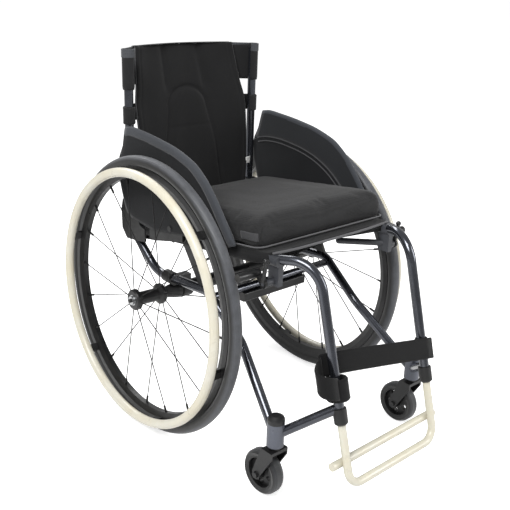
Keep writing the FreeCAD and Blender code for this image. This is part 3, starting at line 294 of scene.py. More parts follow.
def fabric(name, level, pitch, tint=(1, 1, 1.05), sheen=0.5, lighter=1.7, depth=0.35, place_angle=0.0):
    """Woven or knitted cloth: crossed threads, drifting tone, lint and a soft sheen."""
    look = Look(name, 0.85, sheen=sheen, specular=0.2)
    look.shader.inputs["Sheen Roughness"].default_value = 0.45
    place = look.turned(place_angle) if place_angle else look.place
    threads = look.weave(pitch, place, "MAXIMUM")
    drift = look.spread(look.noise(7, 5, 0.6), 0.3, 0.7)
    base = look.mix(drift, grey(level, tint), grey(level * lighter, tint))
    base = look.mix(look.math("MULTIPLY", threads, 0.5), base, grey(level * 2.2, tint))
    lint = look.spread(look.noise(420, 3, 0.7), 0.72, 0.78)
    look.colour(look.mix(look.math("MULTIPLY", lint, 0.15), base, grey(level * 4 + 0.02)))
    look.bump(look.noise(24, 5, 0.6), 0.3, 1.6)
    look.bump(threads, 0.5, depth)
    return look.material


def spacer_mesh(name, level, pitch):
    """Open spacer knit: dark cells in a paler net."""
    look = Look(name, 0.8, sheen=0.1, specular=0.25)
    place = look.turned(SEAT_TILT)
    inputs = {"Vector": place, "Scale": 1 / (pitch * MM), "Randomness": 0.22}
    cells = look.node("ShaderNodeTexVoronoi", inputs)
    net = look.spread(cells, 0.22, 0.48)
    drift = look.spread(look.noise(6, 6, 0.65), 0.3, 0.72)
    thread = look.mix(drift, grey(level * 1.6, (1, 1, 1.04)), grey(level * 2.6, (1, 1, 1.04)))
    look.colour(look.mix(net, grey(level * 0.55), thread))
    look.rough(look.spread(drift, 0, 1, 0.7, 0.88))
    look.bump(look.noise(22, 5, 0.6), 0.35, 2.0)
    look.bump(net, 0.6, 0.5)
    return look.material


INK = (0.93, 1.0, 1.22)
LOOKS = {
    "frame_paint": paint("frame_paint_look", grey(0.04, INK), grey(0.07, INK), 0.22, 0.85, 0.8),
    "housing_paint": paint("housing_paint_look", grey(0.09, INK), grey(0.12, INK), 0.36, 0.6, 0.2),
    "black_metal": moulded("black_metal_look", 0.006, 0.34),
    "spoke_black": moulded("spoke_black_look", 0.002, 0.6),
    "lock_grey": moulded("lock_grey_look", 0.035, 0.42, (0.92, 0.97, 1.12)),
    "steel": brushed("steel_look", 0.5, 0.28),
    "cream_paint": aged_cream("cream_paint_look", (0.62, 0.6, 0.51), 0.3, 0.3),
    "cream_plastic": aged_cream("cream_plastic_look", (0.6, 0.58, 0.5), 0.34, 0.2),
    "black_plastic": moulded("black_plastic_look", 0.007, 0.45),
    "guard_panel": fabric("guard_cloth_look", 0.006, 1.6, (0.95, 1, 1.12), 0.12, depth=0.2),
    # the crest roll's cloth is painted paler than the panel's, a painted highlight for the roll's lit top
    # face
    "guard_roll": fabric("guard_crest_painted_highlight_look", 0.028, 1.4, (0.93, 1, 1.14), 0.2, depth=0.15),
    "guard_padding": fabric("guard_padding_look", 0.011, 1.4, (0.94, 1, 1.12), 0.2, depth=0.15),
    "piping": fabric("piping_look", 0.035, 1.0, sheen=0.2, depth=0.15),
    "hem": fabric("hem_look", 0.06, 1.2, sheen=0.2, depth=0.15),
    "pad_cloth": fabric("pad_cloth_look", 0.0048, 1.3, sheen=0.1, depth=0.15),
    "band_cloth": fabric("band_cloth_look", 0.008, 1.7, sheen=0.15, depth=0.25),
    "knit_band": fabric("knit_band_look", 0.035, 3.4, (0.95, 1, 1.1), 0.2, depth=0.8),
    "webbing": fabric("webbing_look", 0.004, 2.4, sheen=0.08, depth=0.45),
    "sling_cloth": fabric("sling_cloth_look", 0.006, 2.0, sheen=0.1, depth=0.35),
    "cushion_cover": spacer_mesh("cushion_cover_look", 0.0075, 2.7),
    "tag": fabric("tag_look", 0.6, 1.0, (1, 1, 0.98), 0.1, 1.05, 0.1),
    "label": fabric("label_look", 0.03, 0.8, sheen=0.1, depth=0.1),
}


def dress(node, look):
    """Puts one finish on every slot of a CAD node."""
    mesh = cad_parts[node].data
    for index in range(max(1, len(mesh.materials))):
        if index < len(mesh.materials):
            mesh.materials[index] = look
        else:
            mesh.materials.append(look)


PLAIN_LOOKS = {
    "frame_paint": ["seat_rail", "lower_tube", "caster_arms", "back_posts", "cross_tube"],
    "housing_paint": ["caster_housings"],
    "black_metal": [
        "axle_tube", "axle_clamps", "rail_braces", "back_brackets", "cross_beam", "caster_fork", "rim",
        "hub_l", "hub_r", "lock_arm", "guard_brackets", "guard_screws", "caster_bolt",
    ],
    "steel": ["swivel_bearings", "pivot_bolts", "quick_axle", "hub_bearings"],
    "lock_grey": ["lock_clamps"],
    "spoke_black": ["spokes"],
    "cream_paint": ["footrest_bow"],
    "cream_plastic": ["handrim_l", "handrim_r"],
    "black_plastic": [
        "axle_plugs", "leg_collars", "housing_caps", "release_button", "handrim_tabs", "caster_rim",
    ],
}
for look_name, prefixes in PLAIN_LOOKS.items():
    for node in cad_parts:
        if any(node.startswith(prefix) for prefix in prefixes) and "bearings" not in node:
            dress(node, LOOKS[look_name])
for node in ("hub_bearings_left", "hub_bearings_right", "swivel_bearings"):
    dress(node, LOOKS["steel"])

CAMBER = math.radians(2)
for side_name, side in SIDES.items():
    hub = middle_of(f"hub_{side_name}")
    outwards = Vector((side * math.cos(CAMBER), 0, -math.sin(CAMBER)))
    dress(f"tyre_{side_name}", tyre_rubber(f"tyre_look_{side_name}", hub, outwards, 285, 291.5, 0.05))
    caster = middle_of(f"caster_rim_{side_name}")
    axis = Vector((1, 0, 0))
    dress(f"caster_tyre_{side_name}",
          tyre_rubber(f"caster_tyre_look_{side_name}", caster, axis, 40, 44, 0.018))


# ---------------------------------------------------------------- mesh building


def add_piece(name, points, faces, look, body, slot, smooth=True):
    mesh = bpy.data.meshes.new(name)
    mesh.from_pydata([tuple(p) for p in points], [], faces)
    mesh.update()
    fixer = bmesh.new()
    fixer.from_mesh(mesh)
    bmesh.ops.recalc_face_normals(fixer, faces=fixer.faces)
    fixer.to_mesh(mesh)
    fixer.free()
    mesh.polygons.foreach_set("use_smooth", [smooth] * len(mesh.polygons))
    mesh.materials.append(LOOKS[look])
    piece = bpy.data.objects.new(name, mesh)
    bpy.context.scene.collection.objects.link(piece)
    if body:
        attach(piece, body)
    return piece


def loft(rings, closed=False):
    """Points and faces of a skin over rings of equal length, capped at both ends unless closed."""
    count = len(rings[0])
    points = [point for ring in rings for point in ring]
    faces = []
    rows = len(rings) if closed else len(rings) - 1
    for row in range(rows):
        here, after = row * count, (row + 1) % len(rings) * count
        for index in range(count):
            step = (index + 1) % count
            faces.append((here + index, here + step, after + step, after + index))
    if not closed:
        for start, ring in ((0, rings[0]), (len(points) - count, rings[-1])):
            centre = sum(ring, Vector()) / count
            points.append(centre)
            for index in range(count):
                faces.append((start + index, start + (index + 1) % count, len(points) - 1))
    return points, faces


def smooth_path(points, per_span=8, closed=False):
    """A Catmull-Rom curve through points."""
    points = [Vector(p) for p in points]
    count = len(points)
    made = []
    spans = count if closed else count - 1
    for index in range(spans):
        if closed:
            a, b, c, e = (points[(index + k) % count] for k in (-1, 0, 1, 2))
        else:
            b, c = points[index], points[index + 1]
            a = points[index - 1] if index else b * 2 - c
            e = points[index + 2] if index + 2 < count else c * 2 - b
        for step in range(per_span):
            t = step / per_span
            made.append(0.5 * (2 * b + (c - a) * t + (2 * a - 5 * b + 4 * c - e) * t * t
                               + (3 * b - a - 3 * c + e) * t ** 3))
    if not closed:
        made.append(points[-1])
    return made


def frames_along(path, closed, up):
    """For each point of a path, its direction, and two directions across it."""
    made = []
    count = len(path)
    for index, point in enumerate(path):
        if closed:
            along = path[(index + 1) % count] - path[index - 1]
        else:
            along = path[min(index + 1, count - 1)] - path[max(index - 1, 0)]
        along.normalize()
        side = along.cross(up)
        if side.length < 1e-6:
            side = along.cross(Vector((1, 0, 0)))
        side.normalize()
        made.append((point, along, side, side.cross(along).normalized()))
    return made


def outs_along(path, closed, up):
    """The direction across a band at each point of its path."""
    return [across for _, _, across, _ in frames_along(path, closed, up)]


def pipe(name, path, radius, look, body, slot, closed=False, up=Vector((0, 0, 1)), sides=10):
    rings = []
    for point, along, side, rise in frames_along(path, closed, up):
        ring = []
        for index in range(sides):
            turn = math.tau * index / sides
            ring.append(point + (side * math.cos(turn) + rise * math.sin(turn)) * radius * MM)
        rings.append(ring)
    return add_piece(name, *loft(rings, closed), look, body, slot)


def strap_section(width, thick, hem=0.0):
    """Section of a flat band as (across, out) points: rounded long edges, with stitched hems."""
    half, depth = width / 2, thick / 2
    front = []
    steps = 14
    for index in range(steps + 1):
        across = -half + width * index / steps
        edge = min(1.0, (half - abs(across)) / (depth * 1.5 + 1e-6))
        swell = depth * math.sqrt(max(0.0, 1 - (1 - edge) ** 2)) if edge < 1 else depth
        if hem and half - abs(across) < hem:
            swell += 0.35
        front.append((across, max(swell, depth * 0.25)))
    return front + [(across, -out) for across, out in reversed(front)]


def strap(name, path, width_dirs, out_dirs, width, thick, look, body, slot, hem=4.0, closed=False):
    """A band along a path, its width laid along width_dirs and its thickness along out_dirs."""
    section = strap_section(width, thick, hem)
    rings = []
    for point, wide, out in zip(path, width_dirs, out_dirs):
        rings.append([point + (wide * across + out * depth) * MM for across, depth in section])
    return add_piece(name, *loft(rings, closed), look, body, slot)


def puff(piece, voxel, pressure, cap, frames=20, limit=None):
    """Inflates a closed piece as cloth, and keeps each point within cap millimetres of its start."""
    scene = bpy.context.scene
    remesh = piece.modifiers.new("remesh", "REMESH")
    remesh.mode = "VOXEL"
    remesh.voxel_size = voxel * MM
    apply_modifiers(piece)
    rest = points_of(piece)
    cloth = piece.modifiers.new("cloth", "CLOTH")
    cloth.settings.quality = 5
    cloth.settings.mass = 0.3
    cloth.settings.tension_stiffness = 25
    cloth.settings.compression_stiffness = 12
    cloth.settings.bending_stiffness = 0.8
    cloth.settings.use_pressure = True
    cloth.settings.uniform_pressure_force = pressure
    cloth.settings.effector_weights.gravity = 0
    cloth.point_cache.frame_start = 1
    cloth.point_cache.frame_end = frames
    for step in range(1, frames + 1):
        scene.frame_set(step)
    apply_modifiers(piece)
    scene.frame_set(1)
    moved = points_of(piece) - rest
    length = np.maximum(np.linalg.norm(moved, axis=1, keepdims=True), 1e-9)
    kept = cap * MM * np.tanh(length / (cap * MM))
    rest = rest + moved / length * kept
    if limit is not None:
        rest = limit(rest)
    set_points(piece, rest)
    piece.data.polygons.foreach_set("use_smooth", [True] * len(piece.data.polygons))
    return piece


def apply_modifiers(piece):
    bpy.context.view_layer.update()
    graph = bpy.context.evaluated_depsgraph_get()
    mesh = bpy.data.meshes.new_from_object(piece.evaluated_get(graph))
    piece.modifiers.clear()
    piece.data = mesh


def points_of(piece):
    flat = np.zeros(len(piece.data.vertices) * 3)
    piece.data.vertices.foreach_get("co", flat)
    return flat.reshape(-1, 3)


def set_points(piece, points):
    piece.data.vertices.foreach_set("co", points.reshape(-1).astype(np.float32))
    piece.data.update()


def finish_soft(piece, levels=1):
    """One subdivision, made final."""
    piece.modifiers.new("finer", "SUBSURF").levels = levels
    piece.modifiers["finer"].render_levels = levels
    apply_modifiers(piece)
    piece.data.polygons.foreach_set("use_smooth", [True] * len(piece.data.polygons))


# ---------------------------------------------------------------- seat cushion

CUSHION_HALF = 178
CUSHION_FRONT, CUSHION_REAR = 283, -85
CUSHION_LOW, CUSHION_HIGH = 6.0, 67.0
CUSHION_INSET = 2.5


def rounded_outline(half, front, rear, radius, steps=8):
    """Corner-rounded plan of the cushion as (x, reach) pairs."""
    corners = [
        (half - radius, front - radius, 0), (-half + radius, front - radius, 1),
        (-half + radius, rear + radius, 2), (half - radius, rear + radius, 3),
    ]
    plan = []
    for x, reach, quarter in corners:
        for step in range(steps + 1):
            turn = math.pi / 2 * (quarter + step / steps)
            plan.append((x + radius * math.cos(turn), reach + radius * math.sin(turn)))
    return plan


def cushion_rings():
    """Rings from the flat bottom, up the sides, over a rounded shoulder to the crowned top."""
    half = CUSHION_HALF - CUSHION_INSET
    front, rear = CUSHION_FRONT - CUSHION_INSET, CUSHION_REAR + CUSHION_INSET
    low, high = CUSHION_LOW + 0.6, CUSHION_HIGH - 8
    shoulder = 17
    profile = [(30, low), (8, low), (2, low + 2), (0, low + 7)]
    for step in range(6):
        share = step / 5
        profile.append((-1.5 * math.sin(math.pi * share), low + 7 + (high - shoulder - low - 7) * share))
    for step in range(1, 7):
        turn = math.pi / 2 * step / 6
        profile.append((shoulder * (1 - math.cos(turn)), high - shoulder + shoulder * math.sin(turn)))
    for inset, lift in ((34, 1.5), (60, 4), (100, 6.5), (150, 8)):
        profile.append((inset, high + lift))
    rings = []
    for inset, up in profile:
        plan = rounded_outline(half - inset, front - inset, rear + inset, max(4, 14 - inset * 0.05))
        rings.append([seat_point(x, reach, up) for x, reach in plan])
    return rings


def above_sling(points):
    """Keeps the cushion flat where it rests on the sling."""
    normal = (seat_point(0, 0, 1) - seat_point(0, 0, 0)).normalized()
    base = seat_point(0, 0, CUSHION_LOW + 0.4)
    height = (points - np.array(base)) @ np.array(normal)
    short = np.minimum(height, 0)[:, None]
    points = points - short * np.array(normal)
    reach = CUSHION_HALF * MM + 0.0035
    points[:, 0] = np.clip(points[:, 0], -reach, reach)
    return points


cushion = add_piece("cushion_cover", *loft(cushion_rings()), "cushion_cover", None, "cushion_cover")
puff(cushion, 5, 4.0, 8, limit=above_sling)
finish_soft(cushion)
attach(cushion, "cushion")
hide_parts("cushion_core", "cushion_foam")
SEAT_UP = (seat_point(0, 0, 1) - seat_point(0, 0, 0)).normalized()


def cushion_seam(name, up, out, radius, look):
    half = CUSHION_HALF + out
    plan = rounded_outline(half, CUSHION_FRONT + out, CUSHION_REAR - out, 20, 6)
    path = [seat_point(x, reach, up) for x, reach in plan]
    seam = pipe(name, path, radius, look, "cushion", "cushion_cover", closed=True, up=SEAT_UP)
    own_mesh(seam)


def cushion_label():
    """A blank woven label laid on the cushion's right side, near its front corner."""
    tree = BVHTree.FromPolygons([v.co for v in cushion.data.vertices],
                                [list(f.vertices) for f in cushion.data.polygons])
    rows = []
    inwards = Vector((1, 0.25, 0)).normalized()
    for up in np.linspace(19, 35, 9):
        row = []
        for share in np.linspace(0, 1, 22):
            start = seat_point(-CUSHION_HALF - 30, 236 + 46 * share, up)
            row.append(tree.ray_cast(start, inwards)[:2])
        rows.append(row)
    rings = []
    for column in range(22):
        front = [rows[r][column][0] + rows[r][column][1] * 0.9 * MM for r in range(9)]
        back = [rows[r][column][0] - rows[r][column][1] * 0.3 * MM for r in range(9)]
        rings.append(front + back[::-1])
    label = add_piece("cushion_label", *loft(rings), "label", "cushion", "cushion_cover")
    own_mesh(label)


cushion_label()
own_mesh(cushion)
cushion_seam("cushion_piping", CUSHION_LOW + 4.5, -1.0, 1.5, "hem")

# ---------------------------------------------------------------- seat sling


SHEET_RADIUS = 11.6
SHEET_THICKNESS = 1.6


def sling_rings():
    """The seat sheet, wrapped over the outer side of each rail and sagging a little between them."""
    rings = []
    for reach in np.linspace(-82, 300, 40):
        half = rail_side(reach)
        profile = []
        for turn in np.linspace(-40, 90, 10):
            angle = math.radians(turn)
            over, up = SHEET_RADIUS * math.cos(angle), SHEET_RADIUS * math.sin(angle)
            profile.append((half + over, up - TUBE_RADIUS))
        for share in np.linspace(1, -1, 23)[1:-1]:
            sag = 3.5 * (1 - share ** 4)
            profile.append((half * share, SHEET_RADIUS - TUBE_RADIUS - sag))
        profile += [(-x, up) for x, up in reversed(profile[:10])]
        top = [seat_point(x, reach, up) for x, up in profile]
        under = []
        for x, up in profile:
            inwards = Vector((0, 0, SHEET_THICKNESS))
            if abs(x) >= half:
                from_rail = Vector((x - math.copysign(half, x), 0, up + TUBE_RADIUS))
                inwards = from_rail.normalized() * SHEET_THICKNESS
            under.append(seat_point(x - inwards.x, reach, up - inwards.z))
        rings.append(top + under[::-1])
    return rings


sling = add_piece("seat_sheet", *loft(sling_rings()), "sling_cloth", "frame", "black_fabric")
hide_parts("seat_sling")
hem_path = []
for share in np.linspace(-1, 1, 41):
    sag = 3.5 * (1 - share ** 4)
    hem_path.append(seat_point((rail_side(300) + 3) * share, 301.5, 11.6 - TUBE_RADIUS - sag - 0.8))
pipe("sling_hem", hem_path, 2.4, "hem", "frame", "black_fabric", up=Vector((0, 0, 1)))


# ---------------------------------------------------------------- back pad

PAD_LOW, PAD_TOP = 452.0, 785.0
PAD_HEIGHTS = [452, 500, 570, 640, 700, 745, 785]
PAD_REACHES = [-114, -120, -125, -133, -148, -159, -167.5]
EDGE_HEIGHTS = [452, 500, 640, 668, 703, 787]
EDGE_HALVES = [140, 148, 152, 151, 143, 133]
PAD_HOLLOW = 25.0


def bell(value, width):
    return math.exp(-(value / width) ** 2)


def pad_front(height):
    """Reach of the pad's front at its edges, eased over the bend at mid height."""
    near = [np.interp(height + shift, PAD_HEIGHTS, PAD_REACHES) for shift in (-24, -12, 0, 12, 24)]
    return float(np.mean(near))


def pad_half(height):
    near = [np.interp(height + shift, EDGE_HEIGHTS, EDGE_HALVES) for shift in (-8, -4, 0, 4, 8)]
    return float(np.mean(near))


def panel_gap(x, height):
    """Distance outside the raised middle panel, whose top is an arch; negative inside it."""
    arch_foot, arch_rise = 648.0, 44.0
    half = float(np.interp(height, [452, 560, 648], [84, 70, 52]))
    if height <= arch_foot:
        return abs(x) - half
    share = math.hypot(abs(x) / half, (height - arch_foot) / arch_rise)
    return (share - 1) * half


def pad_relief(x, height):
    """Swell and creases of the pad's front, in millimetres."""
    half = pad_half(height)
    gap = panel_gap(x, height)
    relief = -4.4 * bell(gap, 5.0) - 1.2 * bell(gap - 6, 9)
    if gap < 0:
        relief += 2.4 * min(1, -gap / 20)
        relief -= 1.0 * bell(height - 606, 3.0) * min(1, -gap / 10)
    fade = min(1, max(0, (height - 672) / 26))
    for start, lean in ((-50, -0.05), (54, -0.12)):
        line = start + lean * (height - 690)
        relief -= fade * 6.0 * bell(x - line, 10)
    relief += 1.4 * math.sin(x * 0.055 + 1.1) * math.sin(height * 0.03 + 0.4)
    relief += 0.7 * math.sin(x * 0.11 - height * 0.021)
    relief -= 1.4 * bell(half - abs(x) - 12, 2.6)
    return relief


def pad_rings():
    rings = []
    columns = 96
    top, bottom = PAD_TOP, PAD_LOW
    heights = np.concatenate([[bottom, bottom + 1.5, bottom + 4], np.linspace(bottom + 7, top - 7, 104),
                              [top - 4, top - 1.5, top]])
    for height in heights:
        half = pad_half(height)
        end = min(top - height, height - bottom)
        thick_share = math.sqrt(max(0.0, 1 - (1 - min(1.0, end / 7.0)) ** 2)) * 0.85 + 0.15
        front, back = [], []
        for index in range(columns + 1):
            u = -1 + 2 * index / columns
            u = math.copysign(1 - (1 - abs(u)) ** 1.25, u)
            x = u * half
            reach = pad_front(height) - 3.5
            hollow = PAD_HOLLOW * (1 - u * u)
            edge = (1 - abs(u)) * half
            round_share = math.sqrt(max(0.0, 1 - (1 - min(1.0, edge / 8.0)) ** 2))
            half_thick = (1.5 + 5.5 * round_share) * thick_share
            middle = reach - hollow - 7.5
            lift = pad_relief(x, height) * round_share * thick_share
            front.append(at(x, middle + half_thick + lift, height))
            back.append(at(x, middle - half_thick, height))
        rings.append(front + back[::-1])
    return rings


back_pad = add_piece("back_cushion", *loft(pad_rings()), "pad_cloth", "backrest", "black_fabric")
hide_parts("back_pad")


def pad_edge(side, height):
    """The pad's edge line, where its binding is sewn."""
    return at(side * (pad_half(height) - 0.5), pad_front(height) - 3.5 - 7.5, height)


edge_path = [pad_edge(-1, h) for h in np.linspace(PAD_LOW + 4, 779, 60)]
edge_path += [at(-131 + 262 * s, pad_front(785) - 11 - PAD_HOLLOW * (1 - (1 - 2 * s) ** 2), 783.5)
              for s in np.linspace(0.02, 0.98, 40)]
edge_path += [pad_edge(1, h) for h in np.linspace(779, PAD_LOW + 4, 60)]
pipe("pad_binding", edge_path, 2.4, "piping", "backrest", "black_fabric", up=Vector((0, 1, 0.1)))


def pad_tag():
    """A plain care tag sewn into the pad's edge."""
    low, high = 503, 519
    path = [at(146 + 16 * share, -128 - 3 * share, (low + high) / 2) for share in np.linspace(0, 1, 8)]
    ups = [Vector((0, 0, 1))] * len(path)
    outs = [Vector((0, -1, 0))] * len(path)
    return strap("pad_tag", path, ups, outs, high - low, 0.8, "tag", "backrest", "black_fabric", 0)


pad_tag()


# ---------------------------------------------------------------- back bands


def back_band(name, low, high, sag_reach, span, look, swell=0.0, thick=2.4, hem=5.0):
    """One ribbon: round the left post, behind the pad, round the right post."""
    post, radius = -145, 11.7 + swell
    path = []
    for turn in np.linspace(-150, 95, 26):
        angle = math.radians(turn)
        path.append((172 + radius * math.cos(-angle), post + radius * math.sin(-angle)))
    path = path[::-1]
    path = path[::-1]
    rear = -radius - 0.5 + post
    inner = [(span + 14, (rear + sag_reach) / 2), (span - 4, sag_reach)]
    middle = [(x, sag_reach) for x in np.linspace(span - 24, -span + 24, 14)]
    whole = path + inner + middle + [(-x, reach) for x, reach in inner[::-1]]
    whole += [(-x, reach) for x, reach in path[::-1]]
    points = [at(x, reach, (low + high) / 2) for x, reach in whole]
    points = smooth_path(points, 3)
    outs = outs_along(points, False, Vector((0, 0, 1)))
    ups = [Vector((0, 0, 1))] * len(points)
    return strap(name, points, ups, outs, high - low, thick, look, "backrest", "black_fabric", hem)


upper = back_band("upper_band", 700.5, 782, -199, 128, "band_cloth")
lower = back_band("lower_band", 628.5, 665, -176, 140, "band_cloth")
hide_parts("back_bands")


back_band("upper_trim", 766, 783.5, -199, 128, "knit_band", swell=0.9, thick=2.6, hem=2.0)
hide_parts("back_bands")


# ---------------------------------------------------------------- side guards

CREST = [
    (-126, 628), (-100, 632), (-68, 630), (-32, 627), (2, 623), (52, 615), (100, 601), (122, 590), (148, 571),
    (168, 551), (186, 530), (202, 510), (220, 488), (236, 467),
]
PIPING = [
    (-146, 558), (-110, 567), (-70, 570), (-26, 567), (20, 560), (62, 548), (102, 529), (137, 503),
    (168, 474), (192, 456), (200, 452),
]
FOOT = [
    (-153, 560), (-156, 545), (-153, 505), (-140, 466), (-128, 441), (-108, 432), (-30, 425), (60, 440),
    (150, 451), (199, 451),
]
ROLL_HALF = 6.0
PANEL_HALF = 2.0


def resample(points, count):
    """Points spaced evenly along a polyline."""
    points = np.array(points, float)
    steps = np.concatenate([[0], np.cumsum(np.linalg.norm(np.diff(points, axis=0), axis=1))])
    wanted = np.linspace(0, steps[-1], count)
    return np.stack([np.interp(wanted, steps, points[:, k]) for k in range(2)], axis=1)


def guard_outline(count):
    """The crest, the piping below the padding, and the foot, as matching rows of points."""
    crest = smooth_path([Vector((a, b, 0)) for a, b in CREST], 8)
    piping = smooth_path([Vector((a, b, 0)) for a, b in PIPING], 8)
    return (resample([(p.x, p.y) for p in crest], count), resample([(p.x, p.y) for p in piping], count),
            resample(FOOT, count))


def guard_row(crest, piping, foot):
    """Points down the guard as (reach, height, inner half thickness, outer half thickness)."""
    row = []
    padding = float(np.linalg.norm(piping - crest))
    for share in np.linspace(0, 1, 30) ** 1.5:
        drop = share * padding
        rounding = math.sqrt(max(0.0, 1 - (1 - min(1.0, drop / 7.0)) ** 2))
        swell = PANEL_HALF + (ROLL_HALF - PANEL_HALF) * min(1, (padding - drop) / 9) ** 0.5
        lip = 1 / (1 + math.exp((drop - 19) / 1.6))
        outer = PANEL_HALF + 3.6 * lip - 0.9 * bell(drop - 22, 2.2)
        place = crest + (piping - crest) * share
        row.append((*place, max(0.3, swell * rounding), max(0.3, outer * rounding)))
    length = float(np.linalg.norm(foot - piping))
    for share in np.linspace(0, 1, 16)[1:]:
        drop = share * length
        ridge = 1.3 * bell(drop - 5, 4.0)
        end = math.sqrt(max(0.0, 1 - (1 - min(1.0, (length - drop) / 3.0)) ** 2)) if length > 3 else 0.3
        place = piping + (foot - piping) * share
        row.append((*place, max(0.3, (PANEL_HALF + ridge) * end), max(0.3, PANEL_HALF * end)))
    return row


def guard_piece(side_name, side):
    count = 120
    middle_x = 194.0
    rings = []
    for index, (crest, piping, foot) in enumerate(zip(*guard_outline(count))):
        end = 0.35 + 0.65 * min(1.0, min(index, count - 1 - index) / 4)
        row = guard_row(crest, piping, foot)
        inner = [at(side * (middle_x - near * end), reach, height) for reach, height, near, far in row]
        outer = [at(side * (middle_x + far * end), reach, height) for reach, height, near, far in row]
        rings.append(inner + outer[::-1])
    piece = add_piece(f"guard_{side_name}", *loft(rings), "guard_panel", "frame", "guard_panel")
    # slot 1 carries the crest's painted highlight, slot 2 the padding
    for extra in ("guard_roll", "guard_padding"):
        piece.data.materials.append(LOOKS[extra])
    marks = guard_marks(piece, *guard_outline(count)[:2], side)
    piece.data.polygons.foreach_set("material_index", marks)
    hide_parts(f"side_guard_{side_name}", f"guard_roll_{side_name}")
    piping = guard_outline(count)[1]
    for number, drop in enumerate((0.0, 10.0)):
        path = []
        for index in range(3, count - 8):
            along = piping[index + 1] - piping[index - 1]
            down = np.array([along[1], -along[0]]) / np.linalg.norm(along)
            down = down if down[1] < 0 else -down
            reach, height = piping[index] + down * drop
            path.append(at(side * (middle_x - PANEL_HALF - 0.9), reach, height))
        pipe(f"guard_piping_{number}_{side_name}", path, 1.5, "piping", "frame", "guard_panel",
             up=Vector((1, 0, 0)), sides=8)


def guard_marks(piece, crest, piping, side):
    """1 for the band along the crest, painted paler as a painted highlight of its lit top; 2 for the padding
    above the piping; 0 for the panel.
    """
    marks = []
    for face in piece.data.polygons:
        reach, height = (AXLE_Y - face.center.y) / MM, face.center.z / MM
        to_crest = float(np.min(np.hypot(crest[:, 0] - reach, crest[:, 1] - height)))
        above = height > np.interp(reach, piping[:, 0], piping[:, 1])
        # the crest's painted highlight runs 19 mm down from the crest on the outer face and 8 mm on the inner
        # face
        if face.center.x * side > 0.194:
            marks.append(1 if to_crest < 19 else 0)
        else:
            marks.append(1 if to_crest < 8 else 2 if above else 0)
    return marks


for side_name, side in SIDES.items():
    guard_piece(side_name, side)


# ---------------------------------------------------------------- calf strap

LEG_UP = (leg_point(1, 300) - leg_point(1, 200)).normalized()
STRAP_WIDTH = 43
CUFF_WIDTH = 42


def beside_leg(side, outwards, forwards, height):
    """A point beside a front leg: mm outwards and forwards of its centre line, square to the leg."""
    out = Vector((side, 0, 0))
    fore = out.cross(LEG_UP) * side
    if fore.y > 0:
        fore.negate()
    return leg_point(side, height) + (out * outwards + fore * forwards) * MM


def calf_strap():
    """A wide band: round the left leg, behind both legs, then a loose lobe outside the right one."""
    wrap = TUBE_RADIUS + 2.0
    path = []
    for turn in np.linspace(80, -265, 24):
        angle = math.radians(turn)
        path.append(beside_leg(1, wrap * math.cos(angle), wrap * math.sin(angle), 242))
    lobe = [
        (-8, -14, 281), (14, -15, 277), (34, -10, 270), (47, 2, 264), (48, 16, 259), (36, 24, 253),
        (22, 22, 248), (9, 15, 243),
    ]
    path += [beside_leg(-1, outwards, forwards, height) for outwards, forwards, height in lobe]
    path = smooth_path(path, 4)
    outs = outs_along(path, False, LEG_UP)
    ups = [LEG_UP] * len(path)
    return strap("calf_band", path, ups, outs, STRAP_WIDTH, 2.4, "webbing", "frame", "black_fabric")


def calf_cuff():
    """The strap's end, closed over itself round the right leg."""
    path = []
    for turn in np.linspace(0, 360, 48, endpoint=False):
        angle = math.radians(turn)
        out = 18.5 + 3 * bell(turn - 90, 60)
        path.append(beside_leg(-1, out * math.cos(angle), out * math.sin(angle), 240))
    outs = outs_along(path, True, LEG_UP)
    ups = [LEG_UP] * len(path)
    return strap("calf_cuff", path, ups, outs, CUFF_WIDTH, 5.0, "webbing", "frame", "black_fabric",
                 hem=5, closed=True)


calf_band = calf_strap()
calf_cuff()
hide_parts("calf_strap")


# ---------------------------------------------------------------- stage


def build_stage():
    floor_mesh = bpy.data.meshes.new("floor")
    size = 40.0
    floor_mesh.from_pydata([(-size, -size, 0), (size, -size, 0), (size, size, 0), (-size, size, 0)], [],
                           [(0, 1, 2, 3)])
    floor = bpy.data.objects.new("floor", floor_mesh)
    bpy.context.scene.collection.objects.link(floor)
    look = Look("floor_look", 0.7)
    look.colour(look.mix(look.noise(3, 3), grey(0.93), grey(0.96)))
    look.shader.inputs["Emission Color"].default_value = (1, 1, 1, 1)
    seen = look.tree.nodes.new("ShaderNodeLightPath").outputs["Is Camera Ray"]
    look.feed(look.shader.inputs["Emission Strength"], look.math("MULTIPLY", seen, 0.62))
    floor.data.materials.append(look.material)


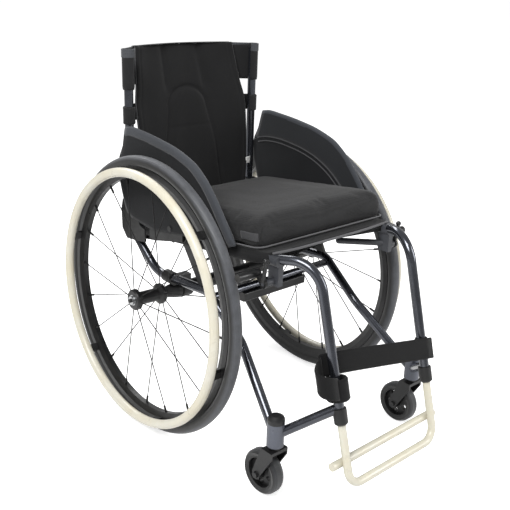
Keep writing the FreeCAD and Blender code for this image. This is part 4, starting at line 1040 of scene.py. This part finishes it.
def add_light(name, place, aim, size, power):
    lamp = bpy.data.lights.new(name, "AREA")
    lamp.shape = "RECTANGLE"
    lamp.size, lamp.size_y = size
    lamp.energy = power
    holder = bpy.data.objects.new(name, lamp)
    holder.location = place
    holder.rotation_euler = (Vector(aim) - Vector(place)).to_track_quat("-Z", "Y").to_euler()
    bpy.context.scene.collection.objects.link(holder)


def build_camera():
    """The view of a product picture: from the sitter's right front, a little above."""
    azimuth, elevation, roll = (math.radians(a) for a in (-42.465, 20.199, 2.035))
    back = Vector((math.sin(azimuth) * math.cos(elevation), -math.cos(azimuth) * math.cos(elevation),
                   math.sin(elevation)))
    right = (-back).cross(Vector((0, 0, 1))).normalized()
    up = back.cross(right)
    turned_right = right * math.cos(roll) + up * math.sin(roll)
    turned_up = up * math.cos(roll) - right * math.sin(roll)
    lens = bpy.data.cameras.new("camera")
    lens.sensor_width = 36
    lens.lens = 54.81
    lens.clip_start = 0.01
    camera = bpy.data.objects.new("camera", lens)
    matrix = Matrix((turned_right, turned_up, back)).transposed().to_4x4()
    matrix.translation = Vector((-1.0754, -1.1464, 0.9454))
    camera.matrix_world = matrix
    bpy.context.scene.collection.objects.link(camera)
    bpy.context.scene.camera = camera


build_stage()
add_light("key", (-1.7, -0.7, 2.4), (0, 0, 0.4), (1.3, 1.3), 74)
add_light("fill", (1.7, -2.1, 1.5), (0, 0, 0.4), (0.9, 1.6), 34)
add_light("rim", (0.5, 2.2, 2.3), (0, 0, 0.5), (2.0, 1.0), 48)
world = bpy.data.worlds.new("studio")
world.use_nodes = True
sky = world.node_tree.nodes["Background"]
sky.inputs[0].default_value = (1, 1, 1, 1)
seen = world.node_tree.nodes.new("ShaderNodeLightPath").outputs["Is Camera Ray"]
shade = world.node_tree.nodes.new("ShaderNodeMapRange")
world.node_tree.links.new(seen, shade.inputs[0])
shade.inputs[3].default_value = 0.42
shade.inputs[4].default_value = 1.05
world.node_tree.links.new(shade.outputs[0], sky.inputs[1])
bpy.context.scene.world = world
bpy.context.scene.view_settings.view_transform = "Standard"
build_camera()
